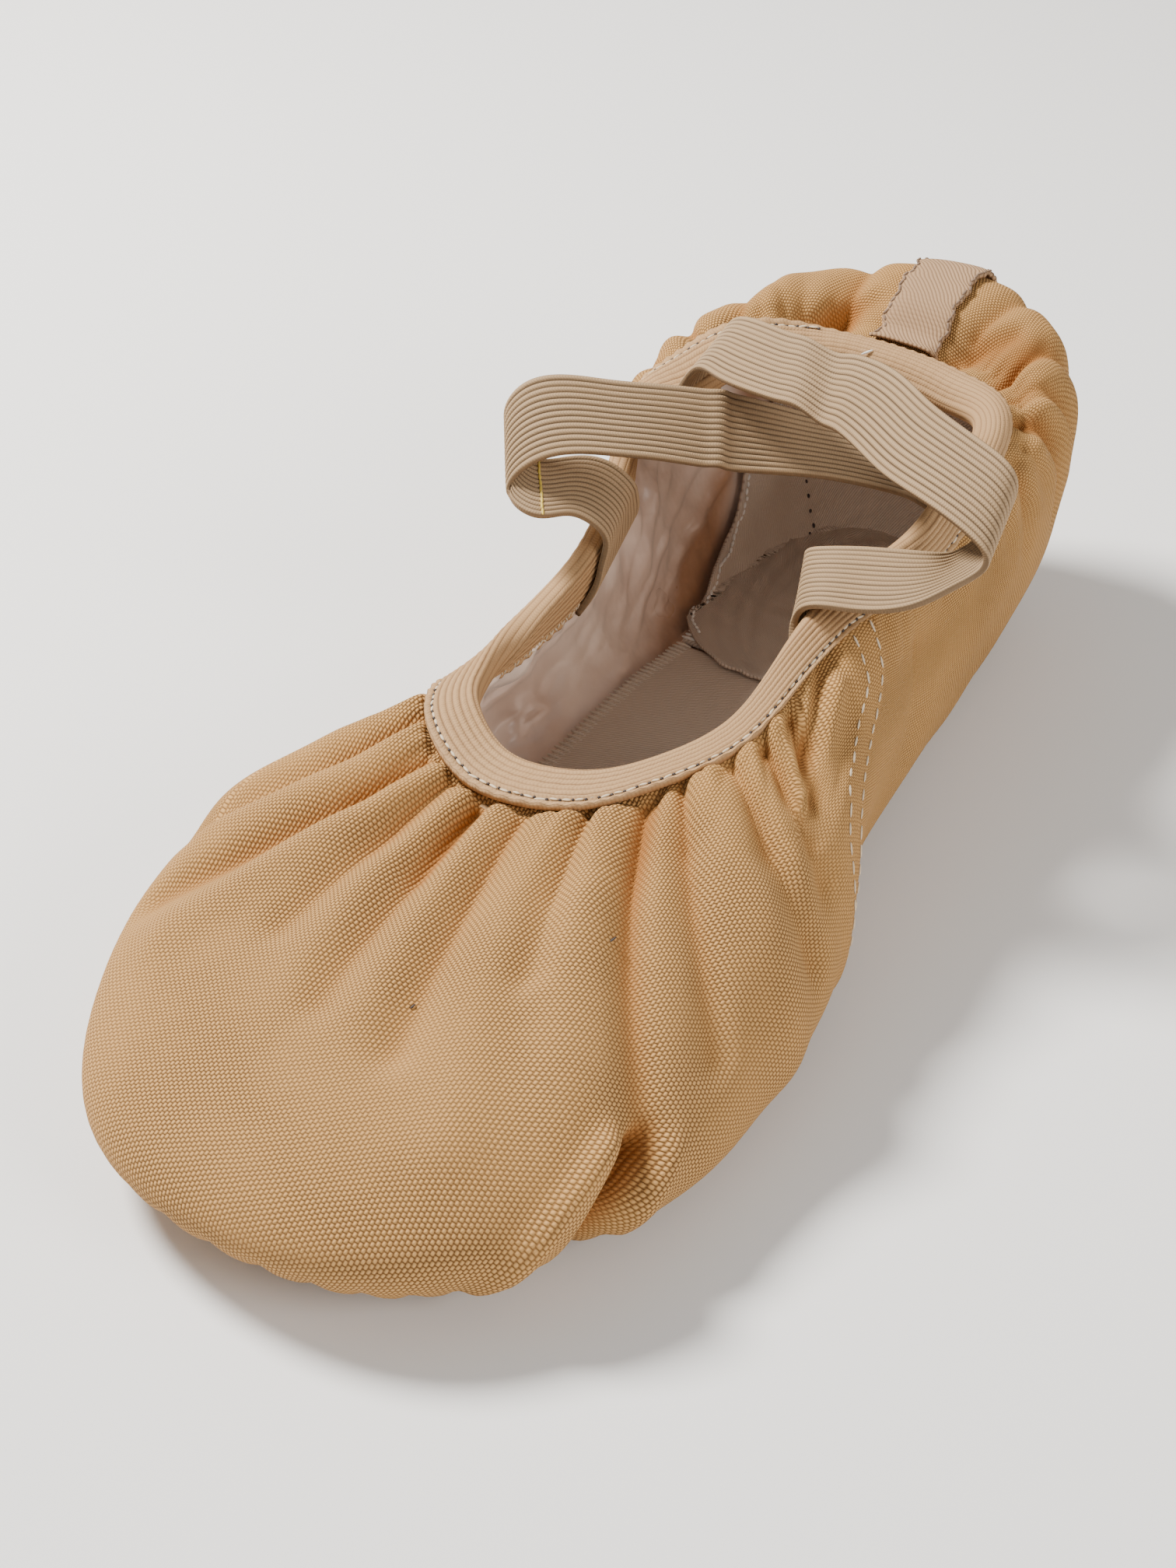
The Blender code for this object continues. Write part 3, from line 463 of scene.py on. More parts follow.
def fine_gathers(count, first, last, deep):
    folds = []
    for k in range(count):
        place = first + (last - first) * (k + chance.uniform(0.15, 0.85)) / count
        reach = chance.uniform(0.05, 0.15)
        lean = chance.uniform(-0.006, 0.006)
        wide = chance.uniform(0.16, 0.30)
        depth = deep * chance.uniform(0.5, 1.0)
        folds.append(Fold(place, 0.11, place + lean, 0.13 + reach, wide, depth, 0.0))
    return folds


GATHERS = fine_gathers(30, 0.335, 0.665, 0.42)
GATHERS += fine_gathers(9, 0.675, 0.79, 0.22)
GATHERS += fine_gathers(7, 0.205, 0.275, 0.20)
GATHERS += fine_gathers(13, 0.79, 0.965, 0.45)
GATHERS += fine_gathers(15, 0.035, 0.20, 0.45)
print(len(FOLDS), "main folds and", len(GATHERS), "fine gathers")

# %% The whole relief of the canvas
SeamPlace = namedtuple("SeamPlace", "down around")
SEAM = [
    SeamPlace(0.00, 0.2760), SeamPlace(0.12, 0.2745), SeamPlace(0.18, 0.2760),
    SeamPlace(0.22, 0.2810), SeamPlace(0.26, 0.2960), SeamPlace(0.30, 0.3090),
    SeamPlace(0.36, 0.3150), SeamPlace(0.50, 0.3160), SeamPlace(1.00, 0.3160),
]


def seam_place(down):
    """Where the cut edge of the front canvas crosses the left side."""
    return soft_line(SEAM, down, 201, 4)


def seam_lift(around, down, around_length):
    """Two layers lie together in the lap in front of each side seam."""
    lift = np.zeros_like(around_length)
    for side in (around, 1.0 - around):
        ahead = (side - seam_place(down)) * around_length
        raised = smooth_step(ahead / (SEAM_LAP * 0.15) + 0.5)
        lowered = smooth_step((SEAM_LAP * 1.6 - ahead) / (SEAM_LAP * 0.6))
        lift += SEAM_STEP * raised * lowered
    return lift * smooth_step((0.74 - down) / 0.10)


def slack_lift(around, down):
    """The gentle unevenness of empty cloth that nothing fills."""
    wave = np.sin(TURN * (5 * around + 1.1 * down)) * np.sin(TURN * (1.7 * down + 3 * around) + 1.0)
    wave += 0.6 * np.sin(TURN * (11 * around - 1.6 * down) + 2.1) * np.sin(TURN * 2.3 * down + 0.4)
    shown = smooth_step((down - 0.16) / 0.14) * smooth_step((0.80 - down) / 0.16)
    return 0.00042 * wave * shown


def sole_pleats(around, down):
    """Small pleats where the spare canvas is turned under the toe and the heel."""
    at_toe = smooth_step((0.16 - np.abs(around - 0.5)) / 0.05)
    at_heel = smooth_step((0.12 - np.minimum(around, 1.0 - around)) / 0.04)
    pleat = 0.5 + 0.5 * np.sin(TURN * 120 * around + 2.0 * np.sin(TURN * 7 * around))
    shown = smooth_step((down - 0.80) / 0.05) * (at_toe + at_heel)
    return -0.00055 * pleat**2 * shown


def heel_pouch(around, down):
    """Behind the rolled elastic the canvas dips, and below that it stands out like a small bag."""
    from_seam = np.minimum(around, 1.0 - around)
    at_heel = smooth_step((0.16 - from_seam) / 0.08)
    gutter = -0.0024 * bell((down - 0.105) / 0.032)
    bag = 0.0006 * bell((down - 0.26) / 0.10)
    beside = bell((around - 0.868) / 0.05) * bell((down - 0.24) / 0.10)
    return (gutter + bag) * at_heel + 0.0040 * beside


def relief(around, down, outward=0.0, fine=True):
    """Points of the gathered canvas at arrays of places, moved outward by a distance."""
    point, normal, around_length, down_length = on_form(around, down)
    around = np.mod(around, 1.0)
    lift = fold_lift(FOLDS, around, down, around_length, down_length)
    lift = lift + seam_lift(around, down, around_length) + heel_pouch(around, down)
    below_band = down - band_share(around)
    lift = lift + 0.0009 * smooth_step(below_band / 0.016 + 0.3) * smooth_step((0.16 - below_band) / 0.12)
    if fine:
        lift = lift + fold_lift(GATHERS, around, down, around_length, down_length, 1.4)
        lift = lift + slack_lift(around, down) + sole_pleats(around, down)
    return point + normal * (lift + outward)[..., None]


# %% [markdown]
# A cloth piece from a grid
#
# In Blender a piece of cloth starts as a plane cut into many quads. bmesh's create_grid makes it, its
# vertices are then moved to the form, and a Solidify modifier gives the real thickness.
# The weave has to follow the yarns, so each piece carries a flat pattern as its UV map, in metres.

# %% Helpers that make pieces
def as_piece(name, mesh, materials, node=None):
    """Links a finished mesh as an object that rides on the shoe's one body."""
    piece = bpy.data.objects.new(name, mesh)
    bpy.context.scene.collection.objects.link(piece)
    for material in materials:
        mesh.materials.append(material)
    mesh.shade_smooth()
    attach(piece, "root")
    if node:
        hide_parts(node)
    return piece


def close_doubles(mesh, flip=False):
    """Merges the vertices that meet, and turns the faces round where flip asks for it."""
    body = bmesh.new()
    body.from_mesh(mesh)
    bmesh.ops.remove_doubles(body, verts=body.verts, dist=0.000002)
    bmesh.ops.dissolve_degenerate(body, edges=body.edges, dist=0.000001)
    if flip:
        bmesh.ops.reverse_faces(body, faces=body.faces)
    body.to_mesh(mesh)
    body.free()


def close_ends(mesh):
    """Fills the two open ends of a looped grid and turns all its faces outward."""
    body = bmesh.new()
    body.from_mesh(mesh)
    rims = [edge for edge in body.edges if edge.is_boundary]
    bmesh.ops.holes_fill(body, edges=rims, sides=0)
    bmesh.ops.recalc_face_normals(body, faces=body.faces)
    body.to_mesh(mesh)
    body.free()


def looped(upper, lower):
    """Rows that run over the upper side, back along the lower side and meet where they began."""
    return np.concatenate([upper, lower[:, ::-1], upper[:, :1]], axis=1)


def mesh_of(name, body):
    """The mesh of a new bmesh, which is freed."""
    mesh = bpy.data.meshes.new(name)
    body.to_mesh(mesh)
    body.free()
    return mesh


def vertex_places(mesh):
    flat = np.empty(len(mesh.vertices) * 3)
    mesh.vertices.foreach_get("co", flat)
    return flat.reshape(-1, 3)


def cloth_grid(name, points, pattern, marks=None, turned=False):
    """A grid mesh moved to points[i, j], with pattern[i, j] as its UV map and marks as attributes."""
    across, down = points.shape[:2]
    body = bmesh.new()
    body.loops.layers.uv.new("pattern")
    bmesh.ops.create_grid(body, x_segments=across - 1, y_segments=down - 1, size=0.5, calc_uvs=True)
    mesh = mesh_of(name, body)
    place = vertex_places(mesh) + 0.5
    i = np.rint(place[:, 0] * (across - 1)).astype(int)
    j = np.rint(place[:, 1] * (down - 1)).astype(int)
    mesh.vertices.foreach_set("co", points[i, j].ravel())
    if pattern is not None:
        corner = np.empty(len(mesh.loops), dtype=int)
        mesh.loops.foreach_get("vertex_index", corner)
        mesh.uv_layers["pattern"].data.foreach_set("uv", pattern[i[corner], j[corner]].ravel())
    for mark, values in (marks or {}).items():
        layer = mesh.attributes.new(mark, "FLOAT", "POINT")
        layer.data.foreach_set("value", values[i, j].astype(np.float32))
    mesh.update()
    close_doubles(mesh, turned)
    return mesh


def thicken(piece, thickness, offset=-1.0, inner=0):
    """Gives cloth its thickness. inner picks another finish for its wrong side."""
    wall = piece.modifiers.new("wall", "SOLIDIFY")
    wall.thickness = thickness
    wall.offset = offset
    wall.use_even_offset = False
    wall.material_offset = inner
    wall.material_offset_rim = 0
    return piece


# %% [markdown]
# The flat pattern
#
# A shoemaker cuts the front and the back of the shoe from flat canvas. Going the other way, the made
# front is laid flat again: a fan of ribs gives a first guess, and a few hundred small corrections
# bring every edge of the net back to its real length. Long links over two edges keep the net from
# folding over. The back is a plain strip round the heel. The weave drawn on the flat pieces keeps its
# size all over the shoe, as real yarns do.

# %% Laying a piece flat
def net_pair(first, second):
    """Flat places for a whole net from its lengths one way and the other."""
    return np.stack(np.broadcast_arrays(first, second), axis=2)


def relaxed(net3, run, rounds):
    """A fan of ribs from the collar's centre, corrected until its edges have their real lengths."""
    centre = np.array([COLLAR_CENTRE * LENGTH, 0.0]) + SHIFT[:2]
    out = net3[:, 10, :2] - centre
    turned = np.unwrap(np.arctan2(out[:, 1], out[:, 0]))
    turned = 0.7 * turned + 0.3 * np.linspace(turned[0], turned[-1], len(turned))
    way = np.stack([np.cos(turned), np.sin(turned)], axis=1)
    from_centre = np.linalg.norm(net3[:, 0, :2] - centre, axis=1)
    flat = centre + way[:, None, :] * (from_centre[:, None] + run)[:, :, None]
    links = []
    for da, dd in ((1, 0), (0, 1), (1, 1), (1, -1), (2, 0), (0, 2)):
        a0 = slice(0, flat.shape[0] - da)
        a1 = slice(da, flat.shape[0])
        d0 = slice(0, flat.shape[1] - dd) if dd >= 0 else slice(1, flat.shape[1])
        d1 = slice(dd, flat.shape[1]) if dd >= 0 else slice(0, flat.shape[1] - 1)
        links.append((a0, d0, a1, d1, np.linalg.norm(net3[a1, d1] - net3[a0, d0], axis=2)))
    for _ in range(rounds):
        move = np.zeros_like(flat)
        for a0, d0, a1, d1, real in links:
            gap = flat[a1, d1] - flat[a0, d0]
            now = np.linalg.norm(gap, axis=2) + 0.0000001
            pull = gap * ((now - real) / now)[..., None] * 0.08
            move[a0, d0] += pull
            move[a1, d1] -= pull
        flat += move
    return flat


def flat_pattern(first, last, downs, turn_degrees, fan, rounds=600):
    """A piece between two places round the shoe laid flat, as a dense table of flat places."""
    share = np.linspace(0.0, 1.0, 61)
    rows = np.linspace(0.0, 1.0, 21)
    from_place = np.interp(rows, downs, first)
    to_place = np.interp(rows, downs, last)
    around = from_place[None, :] * (1.0 - share[:, None]) + to_place[None, :] * share[:, None]
    net3, _, _, _ = on_form(around, np.broadcast_to(rows[None, :], around.shape))
    run = run_along(net3)
    flat = relaxed(net3, run, rounds) if fan else net_pair(run_along(net3[:, 9])[:, None], run)
    angle = np.radians(turn_degrees)
    turn = np.array([[np.cos(angle), -np.sin(angle)], [np.sin(angle), np.cos(angle)]])
    dense = open_spline(share, flat @ turn.T, np.linspace(0.0, 1.0, 241)).transpose(1, 0, 2)
    return open_spline(rows, dense, np.linspace(0.0, 1.0, 81)).transpose(1, 0, 2)


def on_pattern(table, share, down):
    """Reads the flat places of a piece from its table."""
    across = np.clip(share, 0.0, 0.999999) * (table.shape[0] - 1)
    along = np.clip(down, 0.0, 0.999999) * (table.shape[1] - 1)
    i = np.floor(across).astype(int)
    j = np.floor(along).astype(int)
    return between(table, i, i + 1, j, (across - i)[..., None], (along - j)[..., None])


# %% [markdown]
# Node groups that several finishes share
#
# Woven canvas, twill and knitted elastic are all small repeats that follow the cloth, so each is a
# group that reads a flat pattern in metres and puts out a height and a shade. The shade is painted
# shade: darker where the yarns dip and lighter on their tops. The mottle group gives any cloth the
# uneven tone of washed fabric. Each material sets its own values.

# %% Small helpers for shader nodes
class Wires:
    """Adds nodes to one tree and joins them, so that a shader reads like a sum."""

    def __init__(self, tree):
        self.tree = tree

    def node(self, kind, **values):
        made = self.tree.nodes.new(kind)
        for key, value in values.items():
            setattr(made, key, value)
        return made

    def put(self, socket, value):
        if isinstance(value, bpy.types.NodeSocket):
            self.tree.links.new(value, socket)
        else:
            socket.default_value = value

    def fill(self, made, values):
        """Gives each named input of a node its value, or the output that feeds it."""
        for label, value in values.items():
            self.put(made.inputs[label], value)

    def math(self, operation, *values):
        made = self.node("ShaderNodeMath", operation=operation)
        for socket, value in zip(made.inputs, values):
            self.put(socket, value)
        return made.outputs[0]

    def hump(self, value):
        """Half a wave over every whole step of a value, like the round back of a yarn."""
        return self.math("SINE", self.math("MULTIPLY", self.math("FRACT", value), np.pi))

    def parts(self, vector):
        made = self.node("ShaderNodeSeparateXYZ")
        self.put(made.inputs[0], vector)
        return made.outputs[0], made.outputs[1]

    def mix(self, share, first, second):
        made = self.node("ShaderNodeMix", data_type="RGBA")
        for k, value in ((0, share), (6, first), (7, second)):
            self.put(made.inputs[k], value)
        return made.outputs[2]

    def noise(self, vector, scale, detail):
        made = self.node("ShaderNodeTexNoise")
        self.fill(made, {"Vector": vector, "Scale": scale, "Detail": detail})
        return made.outputs[0]

    def ramp(self, value, low, high):
        made = self.node("ShaderNodeMapRange", interpolation_type="SMOOTHSTEP")
        for k, part in enumerate((value, low, high)):
            self.put(made.inputs[k], part)
        return made.outputs[0]

    def place(self):
        return self.node("ShaderNodeTexCoord").outputs["Object"]

    # The crease attribute is painted shade: 1 where a piece is darkened for the shade of folds, grooves and
    # deep places.
    def crease(self):
        return self.node("ShaderNodeAttribute", attribute_name="crease").outputs["Fac"]

    def raise_surface(self, surface, height, distance, strength):
        """Lets light fall as if the surface rose and fell by a height."""
        made = self.node("ShaderNodeBump")
        self.fill(made, {"Height": height, "Distance": distance, "Strength": strength})
        self.put(surface.inputs["Normal"], made.outputs[0])


def new_group(name, vector, numbers, outputs):
    """A node group that reads one vector and some numbers, and puts out numbers."""
    tree = bpy.data.node_groups.new(name, "ShaderNodeTree")
    tree.interface.new_socket(vector, in_out="INPUT", socket_type="NodeSocketVector")
    for label, value in numbers.items():
        socket = tree.interface.new_socket(label, in_out="INPUT", socket_type="NodeSocketFloat")
        socket.default_value = value
    for label in outputs:
        tree.interface.new_socket(label, in_out="OUTPUT", socket_type="NodeSocketFloat")
    wires = Wires(tree)
    return tree, wires, wires.node("NodeGroupInput").outputs, wires.node("NodeGroupOutput")


# %% Plain weave: each long yarn shows as a row of beads where it comes over
weave_group, w, given, result = new_group(
    "plain weave", "Pattern", {"Row": 0.00045, "Bead": 0.0007, "Looseness": 0.2}, ("Height", "Shade")
)
stray = w.math("SUBTRACT", w.noise(given["Pattern"], 420.0, 2.0), 0.5)
stray = w.math("MULTIPLY", stray, given["Looseness"])
along, aside = w.parts(given["Pattern"])
row = w.math("ADD", w.math("DIVIDE", aside, given["Row"]), stray)
run = w.math("ADD", w.math("DIVIDE", along, given["Bead"]), stray)
staggered = w.math("MULTIPLY_ADD", w.math("FLOOR", row), 0.5, run)
cross_yarn = w.hump(w.math("MULTIPLY", run, 2.0))
bead = w.math("MULTIPLY", w.math("POWER", w.hump(row), 0.8), w.math("POWER", w.hump(staggered), 0.7))
height = w.math("MAXIMUM", bead, w.math("MULTIPLY", cross_yarn, 0.32))
# Shade is painted shade: darker between the beads, lighter on their tops.
w.fill(result, {"Height": height, "Shade": w.ramp(height, 0.12, 0.80)})

# %% Ribs with fine cross stitches, for knitted and woven elastic
rib_group, w, given, result = new_group(
    "elastic ribs", "Pattern", {"Rib": 0.001, "Knit": 0.0005}, ("Height", "Shade")
)
along, aside = w.parts(given["Pattern"])
ridge = w.math("POWER", w.hump(w.math("DIVIDE", aside, given["Rib"])), 0.5)
slant = w.math("ADD", along, w.math("MULTIPLY", w.math("PINGPONG", aside, 0.0005), 0.6))
loop = w.hump(w.math("DIVIDE", slant, given["Knit"]))
height = w.math("ADD", ridge, w.math("MULTIPLY", loop, 0.35))
# Shade is painted shade: darker between the ribs and between the knit loops.
shade = w.math("MULTIPLY", w.ramp(ridge, 0.1, 0.9), w.math("MULTIPLY_ADD", loop, 0.4, 0.6))
w.fill(result, {"Height": height, "Shade": shade})

# %% Diagonal lines, for twill tape and cotton drill
twill_group, w, given, result = new_group("twill", "Pattern", {"Pitch": 0.0006}, ("Height", "Shade"))
along, aside = w.parts(given["Pattern"])
lean = w.math("ADD", along, w.math("MULTIPLY", aside, 0.8))
line = w.hump(w.math("DIVIDE", lean, given["Pitch"]))
yarn = w.hump(w.math("DIVIDE", aside, given["Pitch"]))
height = w.math("ADD", line, w.math("MULTIPLY", yarn, 0.4))
# Shade is painted shade: darker between the diagonal lines.
w.fill(result, {"Height": height, "Shade": w.ramp(line, 0.1, 0.9)})

# %% Uneven tone and a little dirt
mottle_group, w, given, result = new_group("mottle", "Place", {}, ("Broad", "Fine"))
broad = w.ramp(w.noise(given["Place"], 42.0, 4.0), 0.32, 0.70)
w.fill(result, {"Broad": broad, "Fine": w.noise(given["Place"], 2600.0, 2.0)})
print("node groups:", [group.name for group in bpy.data.node_groups])

# %% [markdown]
# The finishes
#
# Every finish is a Principled shader whose colour comes from two or three tones mixed by the weave and
# the mottle, and whose bump comes from the same weave. Cloth has no mirror shine, so roughness stays
# high, with a little sheen for the fuzz.

# %% A cloth finish from its tones
def new_finish(name):
    material = bpy.data.materials.new(name)
    material.use_nodes = True
    return material, Wires(material.node_tree), material.node_tree.nodes["Principled BSDF"]


def cloth_finish(name, group, values, deep, light, tint, bump, crease=None, roughness=0.9):
    """deep is the yarn's tone in painted shade, for the gaps between yarns, light is its tone on top of
    them, tint is where the tone wanders to, and crease is painted shade for folds and grooves.
    """
    material, w, surface = new_finish(name)
    weave = w.node("ShaderNodeGroup", node_tree=group)
    w.fill(weave, {"Pattern": w.node("ShaderNodeUVMap", uv_map="pattern").outputs[0], **values})
    tone = w.node("ShaderNodeGroup", node_tree=mottle_group)
    w.fill(tone, {"Place": w.place()})
    broad, fine = tone.outputs
    colour = w.mix(weave.outputs["Shade"], deep + (1.0,), light + (1.0,))
    colour = w.mix(w.math("MULTIPLY", broad, 0.5), colour, tint + (1.0,))
    # Painted shade: where the crease attribute is 1 the colour turns to the crease tone.
    if crease:
        colour = w.mix(w.crease(), colour, crease + (1.0,))
    w.fill(surface, {
        "Base Color": colour,
        "Roughness": w.math("MULTIPLY_ADD", fine, 0.12, roughness - 0.06),
        "Sheen Weight": 0.08,
        "Sheen Tint": light + (1.0,),
        "Sheen Roughness": 0.5,
        "Specular IOR Level": 0.25,
    })
    height = w.math("MULTIPLY_ADD", fine, 0.25, weave.outputs["Height"])
    w.raise_surface(surface, height, bump, 0.8)
    return material


def thread_finish(name, colour, roughness=0.6):
    material, w, surface = new_finish(name)
    tone = w.noise(w.place(), 1800.0, 2.0)
    darker = tuple(0.72 * part for part in colour) + (1.0,)
    w.fill(surface, {
        "Base Color": w.mix(tone, darker, colour + (1.0,)),
        "Roughness": w.math("MULTIPLY_ADD", tone, 0.2, roughness - 0.1),
    })
    w.raise_surface(surface, tone, 0.0001, 0.4)
    return material


# %% Each cloth by name
CANVAS_THREADS = {"Row": 0.00044, "Bead": 0.00072, "Looseness": 0.25}
# Canvas: the last colour is painted shade with warm bounced light, for the bottoms of the folds.
canvas_cloth = cloth_finish(
    "tan canvas", weave_group, CANVAS_THREADS,
    (0.16, 0.072, 0.019), (0.60, 0.335, 0.118), (0.53, 0.28, 0.092), 0.00030, (0.34, 0.13, 0.028),
)
canvas_back = cloth_finish(
    "canvas wrong side", weave_group, CANVAS_THREADS,
    (0.20, 0.085, 0.026), (0.56, 0.29, 0.10), (0.50, 0.24, 0.07), 0.00025,
)
# Collar elastic: the last colour is painted shade between the ribs and in the groove.
collar_knit = cloth_finish(
    "collar elastic", rib_group, {"Rib": BINDING_WIDTH / COLLAR_RIBS, "Knit": 0.00060},
    (0.29, 0.165, 0.075), (0.46, 0.28, 0.135), (0.38, 0.215, 0.095), 0.00012, (0.13, 0.062, 0.024), 0.8,
)
# Strap elastic: the last colour is painted shade in the grooves between the ribs.
strap_knit = cloth_finish(
    "strap elastic", rib_group, {"Rib": 0.00100, "Knit": 0.00042},
    (0.15, 0.092, 0.047), (0.40, 0.27, 0.15), (0.33, 0.215, 0.115), 0.00012, (0.075, 0.045, 0.022), 0.72,
)
tape_twill = cloth_finish(
    "twill tape", twill_group, {"Pitch": 0.00075},
    (0.20, 0.115, 0.06), (0.42, 0.265, 0.15), (0.36, 0.22, 0.12), 0.00012,
)
insole_drill = cloth_finish(
    "insole cotton", twill_group, {"Pitch": 0.00055},
    (0.38, 0.30, 0.235), (0.60, 0.50, 0.41), (0.52, 0.42, 0.335), 0.00009,
)
cream_thread = thread_finish("cream thread", (0.72, 0.58, 0.40))
tan_thread = thread_finish("tan thread", (0.50, 0.32, 0.17))
white_thread = thread_finish("white thread", (0.82, 0.78, 0.72))
overlock_thread = thread_finish("overlock thread", (0.66, 0.57, 0.47), 0.8)
dark_thread_and_hole_shade = thread_finish("dark thread and hole shade", (0.045, 0.03, 0.025))
yellow_thread = thread_finish("yellow thread", (0.70, 0.50, 0.08), 0.45)
tape_edge_thread = thread_finish("tape edge thread", (0.24, 0.155, 0.10), 0.8)

# %% Satin lining and brushed suede
lining_satin, w, surface = new_finish("satin lining")
place = w.place()
soft = w.noise(place, 60.0, 3.0)
# Pale patches from noise: partly the satin's uneven tone, partly painted highlight where satin catches
# light.
tone = w.mix(w.ramp(soft, 0.3, 0.7), (0.66, 0.50, 0.41, 1.0), (0.86, 0.72, 0.62, 1.0))
# Painted shade in deep warm brown where lining_shade, carried as the crease mark, is 1: low on the wall and
# beside the flap.
w.fill(surface, {
    "Base Color": w.mix(w.crease(), tone, (0.36, 0.165, 0.065, 1.0)),
    "Roughness": w.math("MULTIPLY_ADD", soft, 0.12, 0.24),
    "Specular IOR Level": 0.7,
    "Sheen Weight": 0.2,
    "Anisotropic": 0.5,
    "Coat Weight": 0.5,
    "Coat Roughness": 0.24,
})
crinkle = w.math("MULTIPLY", w.noise(place, 260.0, 2.0), 0.35)
w.raise_surface(surface, w.math("ADD", w.noise(place, 110.0, 2.0), crinkle), 0.0020, 0.5)

suede, w, surface = new_finish("brushed suede")
place = w.place()
nap = w.noise(place, 900.0, 6.0)
patch = w.ramp(w.noise(place, 70.0, 3.0), 0.35, 0.65)
tone = w.mix(patch, (0.25, 0.155, 0.09, 1.0), (0.36, 0.235, 0.145, 1.0))
w.fill(surface, {
    "Base Color": w.mix(w.math("MULTIPLY", nap, 0.5), tone, (0.44, 0.31, 0.20, 1.0)),
    "Roughness": w.math("MULTIPLY_ADD", nap, 0.1, 0.88),
    "Sheen Weight": 0.35,
})
w.raise_surface(surface, nap, 0.0003, 0.7)
print("finishes:", len(bpy.data.materials))

# %% [markdown]
# The canvas, in two cut pieces
#
# The front piece covers the toe and laps over the back piece at each side, where two rows of stitching
# hold them. Making them as two grids gives the lap a real cut edge. Each has its own flat pattern, so
# the weave meets at an angle along the seam as it does on the shoe.

# %% Front canvas
def crease_mark(around, down):
    """1 in the bottom of the folds, where light bounces between two faces of the cloth."""
    _, _, around_length, down_length = on_form(around, down)
    deep = -fold_lift(FOLDS, around, down, around_length, down_length)
    deep = deep - fold_lift(GATHERS, around, down, around_length, down_length, 1.4)
    return smooth_step((deep - 0.0007) / 0.0032) * 0.90


def panel(name, first, last, count, downs, turn_degrees, fan, step):
    """A canvas piece between two places round the shoe, each given for every height."""
    share = np.linspace(0.0, 1.0, count)[:, None]
    around = first[None, :] * (1.0 - share) + last[None, :] * share
    down = np.broadcast_to(downs[None, :], around.shape)
    points = relief(around, down)
    _, normal, around_length, _ = on_form(around, down)
    points = points + normal * step(around, down, around_length)[..., None]
    table = flat_pattern(first, last, downs, turn_degrees, fan)
    pattern = on_pattern(table, np.broadcast_to(share, around.shape), down)
    # The crease mark carries painted shade into the bottoms of the folds.
    mesh = cloth_grid(name, points, pattern, {"crease": crease_mark(around, down)})
    return thicken(as_piece(name, mesh, [canvas_cloth, canvas_back]), CANVAS_LAYER, inner=1)


LAP = 0.014
DOWNS = stretches((0.0, 0.11, 6), (0.12, 0.36, 44), (0.37, 1.0, 62))
edge = seam_place(DOWNS)


def no_step(around, down, around_length):
    return np.zeros_like(around_length)


def tuck_under(around, down, around_length):
    """The back piece runs on under the lap, one canvas lower than the front piece."""
    lift = np.zeros_like(around_length)
    for side in (np.mod(around, 1.0), 1.0 - np.mod(around, 1.0)):
        ahead = (side - seam_place(down)) * around_length
        lift -= 0.0008 * smooth_step(ahead / 0.0012 + 0.9) * (side < 0.5)
    return lift


front_canvas = panel("canvas_front", edge, 1.0 - edge, 380, DOWNS, 6.0, True, no_step)
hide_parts("upper")
back_canvas = panel("canvas_back", 1.0 - edge - LAP, 1.0 + edge + LAP, 400, DOWNS, 4.0, False, tuck_under)
for piece in (front_canvas, back_canvas):
    print(piece.name, len(piece.data.vertices), "vertices before its wall")

# %% [markdown]
# The satin lining
#
# Inside, a pale satin is glued along the edges only, so it wrinkles by itself. It is a thin shell just
# inside the canvas with its own soft wrinkles, deepest below the collar.

# %% Lining
FlapPlace = namedtuple("FlapPlace", "around down")
FLAP = [
    FlapPlace(0.500, 1.20), FlapPlace(0.800, 0.90), FlapPlace(0.815, 0.82), FlapPlace(0.827, 0.795),
    FlapPlace(0.843, 0.76), FlapPlace(0.857, 0.72), FlapPlace(0.867, 0.70), FlapPlace(0.876, 0.67),
    FlapPlace(0.885, 0.63), FlapPlace(0.890, 0.59), FlapPlace(0.896, 0.53), FlapPlace(0.920, 0.44),
    FlapPlace(1.040, 0.50), FlapPlace(1.120, 0.66), FlapPlace(1.180, 0.80), FlapPlace(1.200, 0.90),
    FlapPlace(1.500, 1.20),
]
LINING_FOLDS = [
    Fold(0.700, 0.16, 0.716, 0.44, 0.45, 0.35, 0.3),
    Fold(0.728, 0.14, 0.742, 0.52, 0.50, 0.45, -0.3),
    Fold(0.757, 0.14, 0.764, 0.40, 0.38, 0.40, 0.3),
    Fold(0.770, 0.24, 0.786, 0.60, 0.50, 0.45, 0.3),
    Fold(0.793, 0.14, 0.800, 0.50, 0.42, 0.50, -0.4),
    Fold(0.812, 0.18, 0.822, 0.60, 0.46, 0.55, 0.4),
    Fold(0.830, 0.14, 0.836, 0.56, 0.40, 0.50, -0.3),
    Fold(0.850, 0.16, 0.846, 0.42, 0.36, 0.35, 0.2),
    Fold(0.600, 0.15, 0.622, 0.46, 0.45, 0.35, 0.0),
    Fold(0.650, 0.14, 0.664, 0.50, 0.50, 0.40, 0.3),
]


Ripple = namedtuple("Ripple", "turns lean phase high")
RIPPLES = [
    Ripple(19, 3.1, 0.3, 0.9), Ripple(31, -4.3, 1.7, 0.7), Ripple(47, 6.4, 4.1, 0.45),
    Ripple(12, 7.7, 2.2, 0.8),
]


def flap_edge(around):
    """How low the edge of the heel insole lies where it rides up the wall."""
    table = np.array(FLAP)
    return np.interp(np.mod(np.asarray(around) - 0.5, 1.0) + 0.5, table[:, 0], table[:, 1])


